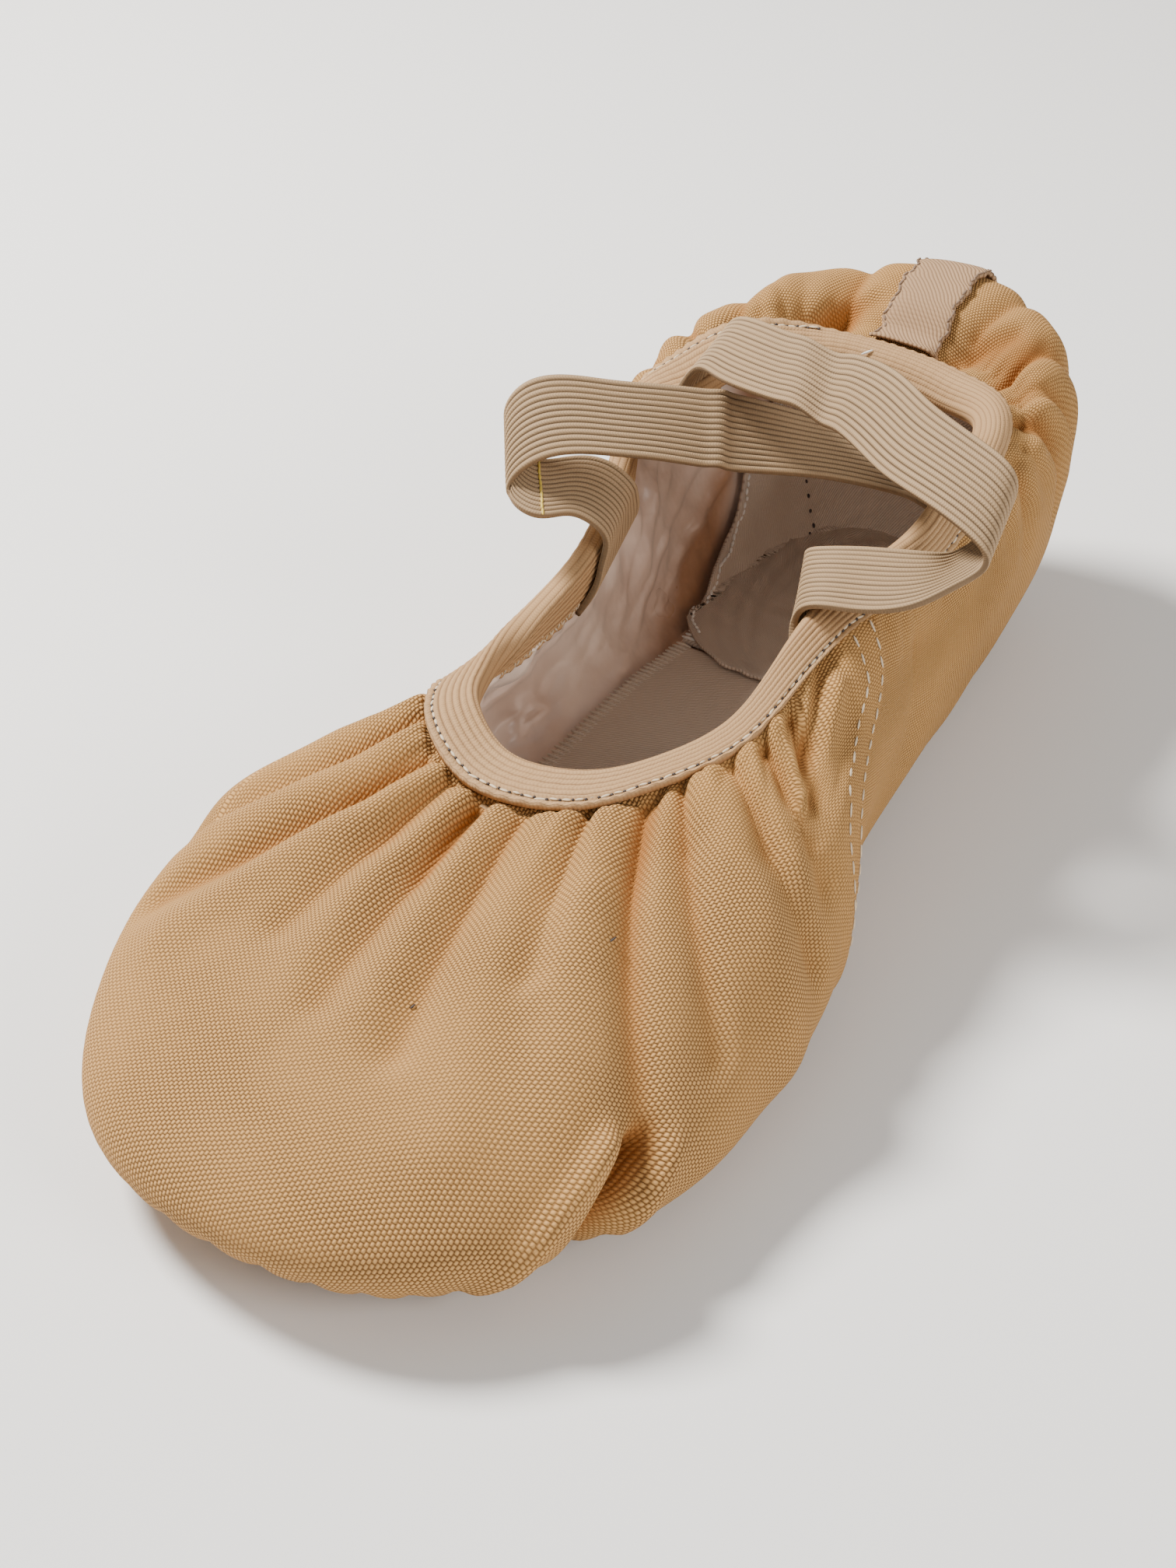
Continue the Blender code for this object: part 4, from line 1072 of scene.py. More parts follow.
def lining_lift(around, down):
    """Inward wrinkles of satin that is longer than the canvas, each one a thin ridge."""
    lift = np.zeros_like(around)
    for turns, lean, phase, high in RIPPLES:
        drift = 1.3 * np.sin(TURN * (3 * around + 1.7 * down) + phase)
        wave = np.sin(TURN * (turns * around + lean * down) + drift + phase)
        patch = smooth_step(0.55 + 0.6 * np.sin(TURN * (5 * around + 2.3 * down) + 2.0 * phase))
        lift += high * np.maximum(wave, 0.0) ** 2 * patch
    _, _, around_length, down_length = on_form(around, down)
    main = fold_lift(LINING_FOLDS, around, down, around_length, down_length)
    shown = smooth_step((down - 0.12) / 0.06) * smooth_step((0.74 - down) / 0.14)
    under_flap = smooth_step((flap_edge(around) - 0.02 - down) / 0.08)
    return (main - 0.0007 * lift) * shown * (0.35 + 0.65 * under_flap)


def lining_shade(around, down):
    """1 where the satin lies deep and only light off the canvas reaches it."""
    low = smooth_step((down - 0.60) / 0.12)
    beside_flap = bell((down - flap_edge(around) + 0.07) / 0.06) * smooth_step((around - 0.83) / 0.02)
    return np.clip(0.75 * low + 0.85 * beside_flap, 0.0, 0.9)


def build_lining():
    downs = stretches((0.02, 0.12, 8), (0.13, 0.60, 74), (0.61, 1.0, 28))
    around, down = np.meshgrid(np.linspace(0.0, 1.0, 371), downs, indexing="ij")
    wrinkles = outward_at(around, down) * lining_lift(around, down)[..., None]
    points = relief(around, down, -CANVAS_WALL - 0.0002) + wrinkles
    mesh = cloth_grid("satin_lining", points, None, {"crease": lining_shade(around, down)})
    return thicken(as_piece("satin_lining", mesh, [lining_satin]), LINING_LAYER)


lining = build_lining()
print("lining", len(lining.data.polygons), "faces")

# %% [markdown]
# The collar elastic
#
# A ribbed elastic tape is folded in half over the canvas edge and stitched through. Its section is
# drawn once, as offsets outward and along the rib, and carried round the collar as a closed loop of
# the grid. Towards the heel the elastic rolls up into a soft tube.

# %% Section of the folded elastic
def binding_section(count_face=26):
    """Rows of (distance down from the canvas edge, distance outward, face share)."""
    near = CLEARANCE
    far = CLEARANCE + BINDING_LEAF
    face = np.linspace(1.0, 0.0, count_face)
    rows = [(BINDING_WIDTH * share, far, 1.0) for share in face]
    for angle in np.linspace(0.12, 0.88, 7) * np.pi:
        middle = -CANVAS_WALL / 2.0
        half = far + CANVAS_WALL / 2.0
        rows.append((-np.sin(angle) * far * 1.1, middle + np.cos(angle) * half, 0.0))
    rows += [(BINDING_WIDTH * share, -CANVAS_WALL - far, -1.0) for share in face[::-1]]
    rows += [(BINDING_WIDTH * share, -CANVAS_WALL - near, 0.0) for share in np.linspace(1.0, 0.0, 5)]
    rows += [(BINDING_WIDTH * share, near, 0.0) for share in np.linspace(0.0, 1.0, 5)]
    return np.array(rows)


def binding_point(around, below, outward):
    """A point below the canvas edge by a distance, or above it where below is negative."""
    point, normal, _, _ = on_form(around, band_share(around) * np.maximum(below, 0.0) / BINDING_WIDTH)
    edge_point, _, _, _ = on_form(around, np.zeros_like(around))
    under_point, _, _, _ = on_form(around, np.full_like(around, 0.03))
    rise = unit(edge_point - under_point) * np.maximum(-below, 0.0)[..., None]
    return point + normal * outward[..., None] + rise


def build_collar():
    section = binding_section()
    around, _ = np.meshgrid(np.linspace(0.0, 1.0, 521), section[:, 0], indexing="ij")
    below, outward, side = (np.broadcast_to(column, around.shape) for column in section.T)
    share = np.maximum(below, 0.0) / BINDING_WIDTH
    ribbed = np.abs(np.sin(np.pi * share * COLLAR_RIBS)) ** 0.7 * smooth_step((0.86 - share) / 0.05)
    groove = bell((share - 0.84) / 0.035)
    lip = smooth_step((share - 0.90) / 0.05)
    rolled = heel_roll(around)
    flat = 1.0 - rolled
    form = 0.00024 * ribbed * (1.0 - 0.8 * rolled) - 0.00030 * groove * flat + 0.00014 * lip * flat
    tube = (0.0010 * np.sin(np.pi * np.clip(share, 0.0, 1.0)) - 0.0004 * share**4) * rolled
    pulled = 0.00012 * np.sin(TURN * 130 * around + 3 * np.sin(TURN * 9 * around)) * (0.3 + lip)
    points = binding_point(around, below, outward + side * (form + tube) + np.abs(side) * pulled)
    pattern = net_pair(run_along(points[:, 0])[:, None], run_along(section[:, :2])[None, :])
    # Painted shade, darker between the ribs and in the groove near the stitching, carried as the crease
    # mark.
    shade = 0.75 * (1.0 - ribbed) ** 2 * smooth_step((0.82 - share) / 0.04) + 0.55 * groove
    shade = shade * np.abs(side) * flat * (0.6 + 0.4 * np.sin(TURN * (7 * around + 11.3 * share)))
    closed = np.concatenate([points, points[:, :1]], axis=1)
    pattern = np.concatenate([pattern, pattern[:, -1:]], axis=1)
    marks = {"crease": np.concatenate([shade, shade[:, :1]], axis=1)}
    mesh = cloth_grid("collar_elastic", closed, pattern, marks, turned=True)
    return as_piece("collar_elastic", mesh, [collar_knit], "collar_binding")


collar = build_collar()
print("collar elastic", len(collar.data.polygons), "faces")

# %% [markdown]
# The straps
#
# Each strap is a flat ribbed elastic, sewn inside the collar and left lying in a loose arc. The two
# long edges are measured as a few places, a spline joins them, and the ribs are real ridges across
# the ribbon. A cloth simulation would lose the ribs, so the ribbon is modelled directly.

# %% Places along each strap's two edges
StrapPlace = namedtuple("StrapPlace", "near_x near_y near_z far_x far_y far_z")
STRAP_OVER = [
    StrapPlace(0.458, 0.73, 0.90, 0.401, 0.56, 0.95),
    StrapPlace(0.463, 0.83, 0.96, 0.406, 0.66, 1.00),
    StrapPlace(0.460, 1.04, 0.98, 0.401, 0.91, 1.03),
    StrapPlace(0.445, 1.37, 1.02, 0.383, 1.25, 1.03),
    StrapPlace(0.420, 1.49, 1.04, 0.360, 1.34, 1.01),
    StrapPlace(0.399, 1.57, 1.06, 0.340, 1.47, 1.09),
    StrapPlace(0.396, 1.57, 1.11, 0.343, 1.54, 1.23),
    StrapPlace(0.388, 1.34, 1.16, 0.333, 1.33, 1.29),
    StrapPlace(0.352, 0.80, 1.15, 0.301, 0.86, 1.30),
    StrapPlace(0.310, 0.33, 1.14, 0.256, 0.38, 1.27),
    StrapPlace(0.300, -0.02, 1.15, 0.242, -0.04, 1.24),
    StrapPlace(0.278, -0.58, 1.12, 0.219, -0.57, 1.21),
    StrapPlace(0.262, -0.82, 1.07, 0.201, -0.83, 1.11),
]
STRAP_UNDER = [
    StrapPlace(0.403, -0.74, 0.77, 0.347, -0.83, 0.86),
    StrapPlace(0.407, -0.80, 0.83, 0.352, -0.94, 0.91),
    StrapPlace(0.416, -0.91, 0.87, 0.363, -1.12, 0.93),
    StrapPlace(0.441, -1.03, 0.90, 0.390, -1.32, 0.95),
    StrapPlace(0.441, -1.18, 0.92, 0.391, -1.44, 1.01),
    StrapPlace(0.432, -1.25, 0.95, 0.386, -1.50, 1.08),
    StrapPlace(0.419, -1.19, 1.00, 0.377, -1.45, 1.15),
    StrapPlace(0.384, -0.79, 1.03, 0.339, -1.04, 1.16),
    StrapPlace(0.362, -0.60, 1.00, 0.315, -0.83, 1.13),
    StrapPlace(0.314, -0.29, 0.91, 0.266, -0.48, 1.05),
    StrapPlace(0.270, 0.12, 0.86, 0.212, -0.06, 0.92),
    StrapPlace(0.262, 0.50, 0.86, 0.201, 0.38, 0.90),
]


# %% Ribbon from its edges
def sewn_end(around, direction):
    """Rows across a strap where its end lies flat against the wall inside the collar."""
    depth = CANVAS_WALL + CLEARANCE + BINDING_LEAF + CLEARANCE + STRAP_THICKNESS / 2.0
    _, _, around_length, _ = on_form(np.array(around), np.array(0.0))
    reach = STRAP_WIDTH / 2.0 / float(around_length)
    share = BAND_SHARE * STRAP_TAIL / BINDING_WIDTH
    downs = np.array([0.1, 0.55, 1.0]) * share
    across = np.array([around + reach * direction, around, around - reach * direction])
    grid_around, grid_down = np.meshgrid(across, downs, indexing="ij")
    return relief(grid_around, grid_down, -depth - STRAP_EASE, fine=False).transpose(1, 0, 2)


def strap_lines(places, first_end, last_end, first_direction):
    """The near edge, the middle and the far edge of a strap from one sewn end to the other."""
    size = np.array([LENGTH, COLLAR_WIDTH / 2.0, COLLAR_HEIGHT])
    lines = []
    for place in places:
        near = np.array(place[:3]) * size + SHIFT
        far = np.array(place[3:]) * size + SHIFT
        lines.append(np.array([near, (near + far) / 2.0, far]))
    start = sewn_end(first_end, first_direction)[::-1]
    finish = sewn_end(last_end, -first_direction)
    knots = np.concatenate([start, lines, finish])
    run = run_along(knots[:, 1])
    return open_spline(run / run[-1], knots, np.linspace(0.0, 1.0, 200))


Wave = namedtuple("Wave", "along wide high slant")


def build_strap(name, node, lines, waves):
    """A ribbed ribbon. waves are creases across it: where along, how wide, how high, and how slanted."""
    share = np.linspace(0.0, 1.0, 79)
    straight = lines[:, :1] * (1.0 - share[None, :, None]) + lines[:, 2:] * share[None, :, None]
    normal = unit(np.cross(np.gradient(straight, axis=0), np.gradient(straight, axis=1)))
    place = np.linspace(0.0, 1.0, len(lines))[:, None]
    rib = np.abs(np.sin(np.pi * share * STRAP_RIBS))
    crease = np.zeros(straight.shape[:2])
    for wave in waves:
        crease += wave.high * bell((place - wave.along - wave.slant * (share - 0.5)) / wave.wide)
    half = STRAP_THICKNESS * 0.32 + 0.00021 * rib**0.6
    top = straight + normal * (half + crease)[..., None]
    low = straight - normal * (half - crease)[..., None]
    run = np.cumsum(np.linalg.norm(np.gradient(lines[:, 1], axis=0), axis=1))
    pattern = net_pair(run[:, None], share * STRAP_WIDTH)
    # Painted shade in the grooves between the ribs, deeper in some grooves than in others, carried as the
    # crease mark.
    deep = 0.35 + 0.65 * chance.uniform(0.0, 1.0, 14)[np.rint(share * STRAP_RIBS).astype(int)]
    groove = deep * (1.0 - rib**0.5) ** 1.5 * np.minimum(1.0, 16.0 * share * (1.0 - share))
    groove = np.broadcast_to(groove, crease.shape)
    mesh = cloth_grid(name, looped(top, low), looped(pattern, pattern), {"crease": looped(groove, groove)})
    close_ends(mesh)
    return as_piece(name, mesh, [strap_knit], node)


OVER_WAVES = [Wave(0.66, 0.018, 0.0009, 0.03), Wave(0.70, 0.02, -0.0006, 0.03)]
UNDER_WAVES = [Wave(0.60, 0.014, 0.0007, 0.0)]
over_lines = strap_lines(STRAP_OVER, 0.302, 0.868, 1.0)
under_lines = strap_lines(STRAP_UNDER, 0.752, 0.158, -1.0)
strap_over = build_strap("elastic_over", "strap_over", over_lines, OVER_WAVES)
strap_under = build_strap("elastic_under", "strap_under", under_lines, UNDER_WAVES)
print("straps", len(strap_over.data.polygons), len(strap_under.data.polygons), "faces")

# %% [markdown]
# Insole pieces and suede pads
#
# The insole is two pieces of cotton whose cut edges are overlocked. The pads are suede, thick enough to
# show an edge. Both start from an outline that is filled, thickened and rounded, with a soft top.

# %% Outlines, as shares of length and half width
Outline = namedtuple("Outline", "along half")
FOREPAD_OUTLINE = [
    Outline(0.00, 0.22), Outline(0.03, 0.42), Outline(0.13, 0.68), Outline(0.34, 0.92), Outline(0.56, 1.00),
    Outline(0.76, 0.92), Outline(0.91, 0.66), Outline(0.98, 0.34), Outline(1.00, 0.12),
]
HEELPAD_OUTLINE = [
    Outline(0.00, 0.16), Outline(0.04, 0.48), Outline(0.16, 0.82), Outline(0.38, 1.00),
    Outline(0.65, 0.92), Outline(0.88, 0.66), Outline(0.98, 0.34), Outline(1.00, 0.14),
]
FORE_INSOLE_OUTLINE = [
    Outline(0.00, 0.61), Outline(0.10, 0.63), Outline(0.25, 0.66), Outline(0.40, 0.73), Outline(0.54, 0.90),
    Outline(0.68, 1.00), Outline(0.82, 0.92), Outline(0.93, 0.64), Outline(0.985, 0.32),
    Outline(1.00, 0.12),
]
HEEL_INSOLE_OUTLINE = [
    Outline(0.00, 0.16), Outline(0.05, 0.45), Outline(0.22, 0.78), Outline(0.40, 0.91),
    Outline(0.58, 0.98), Outline(0.80, 1.00), Outline(1.00, 1.00),
]
Flat = namedtuple("Flat", "label outline start length width")
PADS = [
    Flat("forefoot", FOREPAD_OUTLINE, FOREPAD_START, FOREPAD_LENGTH, FOREPAD_WIDTH),
    Flat("heel", HEELPAD_OUTLINE, HEELPAD_START, HEELPAD_LENGTH, HEELPAD_WIDTH),
]
INSOLES = [
    Flat("forefoot", FORE_INSOLE_OUTLINE, FORE_INSOLE_START, FORE_INSOLE_LENGTH, FORE_INSOLE_WIDTH),
    Flat("heel", HEEL_INSOLE_OUTLINE, HEEL_INSOLE_START, HEEL_INSOLE_LENGTH, HEEL_INSOLE_WIDTH),
]


def outline_line(flat, steps):
    """Places along a flat piece and its half width there."""
    table = np.array(flat.outline)
    line = open_spline(np.linspace(0.0, 1.0, len(table)), table, np.linspace(0.0, 1.0, steps))
    return flat.start + flat.length * line[:, 0], flat.width / 2.0 * line[:, 1]


def build_flat(cloth, solid, material, flat, bottom, thickness, soft):
    """A flat piece with rounded edges, as a closed loop of a grid from end to end."""
    x, half = outline_line(flat, 120)
    y = half[:, None] * np.sin(np.linspace(-0.5, 0.5, 33) * np.pi)
    xs = np.broadcast_to(x[:, None], y.shape)
    from_end = np.minimum(xs - x[0], x[-1] - xs)
    inner = np.clip(np.minimum(half[:, None] - np.abs(y), from_end) / soft, 0.0, 1.0)
    rounded = np.sqrt(np.clip(1.0 - (1.0 - inner) ** 2, 0.0, 1.0))
    base = bottom + (arch_rise(xs) if bottom > 0.0 else 0.0)
    top = base + thickness * (0.45 + 0.55 * rounded)
    low = base + thickness * 0.27 * (1.0 - rounded)
    loop = looped(*(np.stack([xs, y, height], axis=2) + SHIFT for height in (top, low)))
    mesh = cloth_grid(cloth + flat.label, loop, loop[..., :2])
    close_ends(mesh)
    return as_piece(cloth + flat.label, mesh, [material], solid + flat.label)


INSIDE = PAD_THICKNESS + CLEARANCE + CANVAS_WALL + INSOLE_EASE
for flat in PADS:
    build_flat("suede_", "outsole_", suede, flat, 0.0, PAD_THICKNESS, 0.0012)
for flat in INSOLES:
    build_flat("cotton_", "insole_", insole_drill, flat, INSIDE, INSOLE_THICKNESS, 0.0009)

# %% The heel insole rides up the wall
FLAP_DEPTH = 0.0043


def build_flap():
    """The wide heel insole turned up the inside of the heel, as a grid from its edge to the middle."""
    places = np.linspace(0.806, 1.19, 140)
    share = np.linspace(0.0, 1.0, 60)[None, :]
    top = flap_edge(places)[:, None]
    down = top * (1.0 - share) + share
    around = np.broadcast_to(places[:, None], down.shape)
    rough = np.sin(TURN * (31 * around + 9 * down)) * np.sin(TURN * (14 * around - 7 * down))
    points = relief(around, down, 0.0002 * rough - FLAP_DEPTH, fine=False)
    to_middle = np.linspace(0.0, 1.0, 9)[None, 1:, None]
    last = points[:, -1:]
    middle = last * np.array([1.0, 0.0, 1.0]) + np.array([0.0, SHIFT[1], 0.0])
    points = np.concatenate([points, last * (1.0 - to_middle) + middle * to_middle], axis=1)
    runs = run_along(points)
    pattern = net_pair(run_along(points[:, 24])[:, None], runs - runs[:, 24:25])
    mesh = cloth_grid("heel_insole_flap", points, pattern)
    return thicken(as_piece("heel_insole_flap", mesh, [insole_drill]), 0.0006, 1.0)


flap = build_flap()
print("flats and flap:", len(PADS) + len(INSOLES), "and", flap.name)

# %% [markdown]
# The tape over the back seam
#
# A strip of twill covers the seam up the back of the heel. Its stitched edges are drawn in, so they
# wave a little, and its top end starts just below the rolled elastic, where it shows behind the collar.

# %% Heel tape
def tape_reach(downs):
    """Half the tape's width at each height, in shares round the shoe, with its uneven edge."""
    _, _, around_length, _ = on_form(np.zeros_like(downs), downs)
    wavy = 1.0 + 0.05 * np.sin(TURN * downs * 17.0) + 0.03 * np.sin(TURN * downs * 41.0 + 1.0)
    return TAPE_WIDTH / 2.0 / around_length * wavy


TAPE_START = BAND_SHARE * ROLLED_SHARE + 0.012


def build_tape():
    downs = np.linspace(TAPE_START, 0.72, 110)
    side = np.linspace(-1.0, 1.0, 25)[:, None]
    around = side * tape_reach(downs)
    down = np.broadcast_to(downs, around.shape)
    outward = TAPE_EASE + TAPE_THICKNESS - 0.0003 * np.abs(side) ** 6
    points = relief(around, down, np.broadcast_to(outward, around.shape), fine=False)
    pattern = net_pair(side * TAPE_WIDTH / 2.0, run_along(points[12]))
    mesh = cloth_grid("back_tape", points, pattern)
    return thicken(as_piece("back_tape", mesh, [tape_twill], "heel_seam_tape"), 0.0006)


back_tape = build_tape()
print("tape", len(back_tape.data.polygons), "faces")

# %% [markdown]
# Sewing
#
# A stitch is a short length of thread that dips into the cloth at both ends, like a grain of rice. Each
# row follows a path on the cloth, and all the stitches of a row are joined in one mesh of small
# stretched spheres, a few dozen faces each.

# %% Rows of stitches
def repeated(template, count):
    """One mesh of count copies of a small mesh, by an Array modifier with no offset."""
    holder = bpy.data.objects.new("holder", template)
    bpy.context.scene.collection.objects.link(holder)
    row = holder.modifiers.new("row", "ARRAY")
    row.count = count
    row.use_relative_offset = False
    shown = holder.evaluated_get(bpy.context.evaluated_depsgraph_get())
    mesh = bpy.data.meshes.new_from_object(shown)
    bpy.data.objects.remove(holder)
    return mesh


def stitch_mesh(name, centres, ways, normals, lengths, width, material):
    """One joined mesh of stitches, each at a centre, along a way, lying flat to the cloth."""
    body = bmesh.new()
    bmesh.ops.create_uvsphere(body, u_segments=8, v_segments=6, radius=1.0)
    grain = mesh_of("grain", body)
    mesh = repeated(grain, len(centres))
    shape = vertex_places(grain)
    forward = unit(np.asarray(ways, float))
    up = np.asarray(normals, float)
    up = unit(up - forward * np.sum(up * forward, axis=1, keepdims=True))
    aside = np.cross(up, forward)
    places = centres[:, None, :] + forward[:, None, :] * shape[None, :, 2:] * lengths[:, None, None] / 2.0
    places = places + aside[:, None, :] * shape[None, :, :1] * width / 2.0
    places = places + up[:, None, :] * shape[None, :, 1:2] * width * 0.42
    mesh.vertices.foreach_set("co", places.ravel())
    mesh.update()
    bpy.data.meshes.remove(grain)
    return as_piece(name, mesh, [material])


def read_path(path, run, places):
    """Points of a path at some distances along it. run says how far along its own points lie."""
    return np.stack([np.interp(places, run, path[:, k]) for k in range(3)], axis=1)


def sew(name, row, pitch, length, width, material, jitter, phase=0.5):
    """Stitches every pitch metres along a row, which is a path and its normals. phase shifts them."""
    path, normals = row
    run = run_along(path)
    count = max(2, int(run[-1] / pitch))
    middles = (np.arange(count) + phase) * run[-1] / count
    ways = unit(read_path(path, run, middles + 0.0004) - read_path(path, run, middles - 0.0004))
    rises = unit(read_path(normals, run, middles))
    sides = np.cross(rises, ways)
    slip = chance.normal(0.0, 1.0, (count, 2)) * jitter
    centres = read_path(path, run, middles) + sides * slip[:, :1] * 0.0001
    ways = unit(ways + sides * slip[:, 1:] * 0.12)
    lengths = length * (1.0 + 0.1 * slip[:, 0])
    return stitch_mesh(name, centres, ways, rises, lengths, width, material)


def wall_row(around, down, outward):
    """A row on the wall at a distance, negative inside, that faces the side it lies on."""
    return relief(around, down, outward, fine=False), outward_at(around, down) * np.sign(outward)


# %% Collar rows: one row with its needle holes outside, a zigzag inside
def collar_row(below, outward, start=0.0, end=1.0):
    around = np.linspace(start, end, 900)
    puff = 0.0008 * heel_roll(around) * np.sign(outward)
    path = binding_point(around, np.full_like(around, below), outward + puff)
    return path, outward_at(around, np.full_like(around, 0.08)) * np.sign(outward)


leaf = CLEARANCE + BINDING_LEAF
outer_row = collar_row(BINDING_WIDTH * 0.84, leaf - 0.00008, 0.15, 0.95)
sew("stitch_collar", outer_row, 0.00175, 0.00140, 0.00044, cream_thread, 1.2)
# Painted shade of the needle holes: short dark grains at each stitch end.
sew("holes_collar", outer_row, 0.00175, 0.00050, 0.00048, dark_thread_and_hole_shade, 0.8, 1.0)
path, normal = collar_row(BINDING_WIDTH * 0.86, -CANVAS_WALL - leaf)
zigzag = 0.00055 * np.sign(np.sin(np.arange(len(path)) * np.pi / 2.0 + 0.3))
path = path + np.cross(normal, unit(np.gradient(path, axis=0))) * zigzag[:, None]
sew("stitch_collar_inside", (path, normal), 0.0012, 0.0013, 0.00034, cream_thread, 1.0)

# %% Side seam rows
def seam_row(aside, right):
    """A row square to the cut edge by a distance, from the elastic to the sole."""
    downs = np.linspace(0.080, 0.86, 310)
    around = seam_place(downs)
    _, _, around_length, down_length = on_form(around, downs)
    forward = np.gradient(around, downs) * around_length
    size = np.hypot(forward, down_length)
    around = around + aside * down_length / size / around_length
    downs = downs - aside * forward / size / down_length
    around = 1.0 - around if right else around
    return relief(around, downs, 0.00010), outward_at(around, downs)


for side in ("left", "right"):
    for label, aside in (("rear", 0.0012), ("front", 0.0056)):
        row = seam_row(aside, side == "right")
        sew("stitch_seam_" + side + "_" + label, row, 0.0026, 0.0018, 0.00038, cream_thread, 0.8)

# %% Tape edges, insole overlocking and pad edges
tape_downs = np.linspace(TAPE_START + 0.005, 0.70, 240)
for label, side in (("left", 1.0), ("right", -1.0)):
    around = side * tape_reach(tape_downs) * 0.93
    row = wall_row(around, tape_downs, TAPE_EASE + TAPE_THICKNESS - 0.0001)
    sew("stitch_tape_" + label, row, 0.0012, 0.0012, 0.00045, tape_edge_thread, 1.5)


def edge_path(flat, inset, height, side):
    x, half = outline_line(flat, 400)
    return np.stack([x, side * np.maximum(half - inset, 0.0), height + arch_rise(x)], axis=1) + SHIFT


def ladder(name, flat, material):
    """Overlocking: threads that wrap square over the cut edge, side by side."""
    centres, ways = [], []
    for side in (1.0, -1.0):
        path = edge_path(flat, 0.0012, INSIDE + INSOLE_THICKNESS - 0.0001, side)
        run = run_along(path)
        centres.append(read_path(path, run, np.arange(0.0005, run[-1], 0.0011)))
        ways.append(np.cross(unit(np.gradient(centres[-1], axis=0)), [0.0, 0.0, 1.0]))
    centres = np.concatenate(centres)
    rises = np.broadcast_to([0.0, 0.0, 1.0], centres.shape)
    lengths = 0.0030 * (1.0 + chance.normal(0.0, 0.06, len(centres)))
    ways = np.concatenate(ways)
    return stitch_mesh(name, centres, ways, rises, lengths, 0.00070, material)


for flat, material in zip(INSOLES, (overlock_thread, white_thread)):
    ladder("overlock_" + flat.label, flat, material)
for flat in PADS:
    for hand, side in (("left", 1.0), ("right", -1.0)):
        path = edge_path(flat, 0.0022, 0.0, side) * (1.0, 1.0, 0.0) + (0.0, 0.0, 0.00012)
        row = path, np.broadcast_to([0.0, 0.0, -1.0], path.shape)
        name = "stitch_pad_" + flat.label + "_" + hand
        sew(name, row, 0.0026, 0.0019, 0.00040, tan_thread, 0.6)

# %% [markdown]
# Small leftovers of sewing
#
# Real shoes keep traces of the work: a yellow marking thread woven across one strap, a line of dark
# basting stitches on the heel insole, a white thread end at the collar joint and a little lint.

# %% Marking thread, basting, thread end and lint
def across_strap(lines, along, lift):
    """A path over the strap from edge to edge at one place along it."""
    k = int(along * (len(lines) - 1))
    share = np.linspace(0.0, 1.0, 24)
    row = lines[k, 0] * (1.0 - share[:, None]) + lines[k, 2] * share[:, None]
    normal = unit(np.cross(lines[k + 1, 1] - lines[k - 1, 1], lines[k, 2] - lines[k, 0]))
    return row + normal * lift, np.broadcast_to(normal, row.shape)


marked = across_strap(under_lines, 0.235, -STRAP_THICKNESS * 0.55)
sew("marking_thread", marked, 0.0012, 0.0015, 0.00048, yellow_thread, 0.3)
around = np.linspace(0.822, 1.15, 300)
down = flap_edge(around) + 0.022 + 0.004 * np.sin(TURN * 60 * around)
flap_row = wall_row(around, down, -FLAP_DEPTH - 0.0001)
sew("stitch_flap", flap_row, 0.0012, 0.0011, 0.00055, white_thread, 1.2)
dots_row = wall_row(np.linspace(0.927, 0.930, 40), np.linspace(0.66, 0.88, 40), -FLAP_DEPTH - 0.0001)
sew("dots_heel", dots_row, 0.0023, 0.0008, 0.00055, dark_thread_and_hole_shade, 0.8)

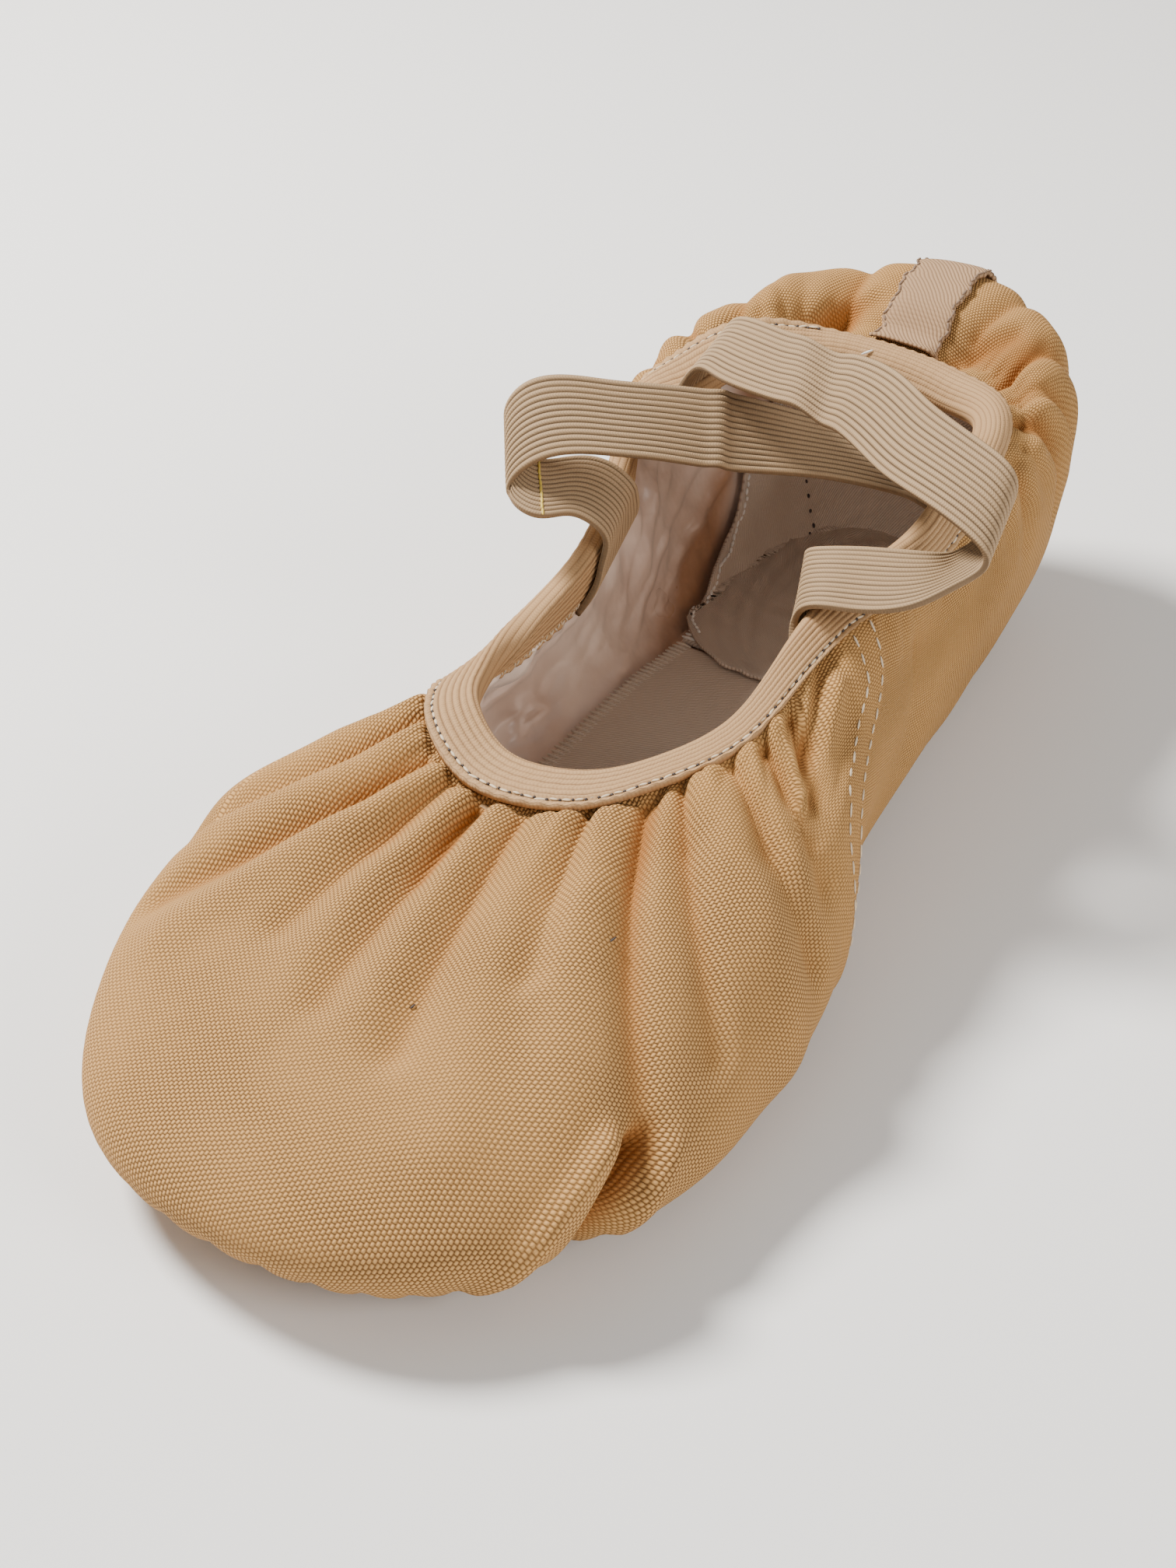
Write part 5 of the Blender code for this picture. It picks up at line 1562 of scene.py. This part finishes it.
around = np.linspace(0.980, 0.986, 12)
stub = binding_point(around, np.linspace(-0.0006, 0.0034, 12), np.full(12, leaf + 0.0012))
end_row = stub, outward_at(around, np.full(12, 0.03))
sew("thread_end", end_row, 0.0010, 0.0018, 0.00040, white_thread, 2.5)
Speck = namedtuple("Speck", "around down length")
around, down, length = np.array([Speck(0.433, 0.370, 0.0013), Speck(0.485, 0.455, 0.0009)]).T
normal = outward_at(around, down)
lint_way = np.cross(normal, [0.3, 1.0, 0.2])
stitch_mesh("lint", relief(around, down, 0.0002), lint_way, normal, length, 0.0003, dark_thread_and_hole_shade)

# %% [markdown]
# Camera, floor and light
#
# The camera stands where the photographer did, worked out from the shoe's own length. A pale floor
# and three large soft lights give the even studio look, with the main light overhead.

# %% Camera
def stand(name, data, place, target):
    """An object at a place that looks at a target."""
    thing = bpy.data.objects.new(name, data)
    thing.location = place
    thing.rotation_mode = "QUATERNION"
    thing.rotation_quaternion = (Vector(target) - Vector(place)).to_track_quat("-Z", "Y")
    bpy.context.scene.collection.objects.link(thing)
    return thing


lens = bpy.data.cameras.new("camera")
lens.lens = 56.0
lens.sensor_width = 36.0
lens.clip_start = 0.01
camera = stand("camera", lens, (0.2499, 0.1412, 0.2343), (0.0138, -0.0031, 0.0200))
bpy.context.scene.camera = camera

# %% Floor
body = bmesh.new()
bmesh.ops.create_grid(body, x_segments=1, y_segments=1, size=3.0)
floor = bpy.data.objects.new("floor", mesh_of("floor", body))
bpy.context.scene.collection.objects.link(floor)
paper, w, surface = new_finish("pale paper")
w.fill(surface, {"Base Color": (0.86, 0.85, 0.83, 1.0), "Roughness": 0.9})
floor.data.materials.append(paper)

# %% Lights
def soft_light(name, place, target, size, power, colour):
    data = bpy.data.lights.new(name, "AREA")
    data.shape = "DISK"
    data.size = size
    data.energy = power
    data.color = colour
    return stand(name, data, place, target)


soft_light("main", (0.02, -0.52, 0.68), (0.0, 0.0, 0.0), 0.26, 18.0, (1.0, 0.975, 0.94))
soft_light("side fill", (0.10, 0.85, 0.50), (0.0, 0.0, 0.02), 0.45, 5.5, (1.0, 0.97, 0.94))
soft_light("toe fill", (0.95, 0.10, 0.50), (0.0, 0.0, 0.02), 0.6, 1.0, (1.0, 0.98, 0.96))
world = bpy.data.worlds.new("studio")
world.use_nodes = True
w = Wires(world.node_tree)
w.fill(world.node_tree.nodes["Background"], {"Color": (1.0, 0.99, 0.98, 1.0), "Strength": 0.38})
bpy.context.scene.world = world
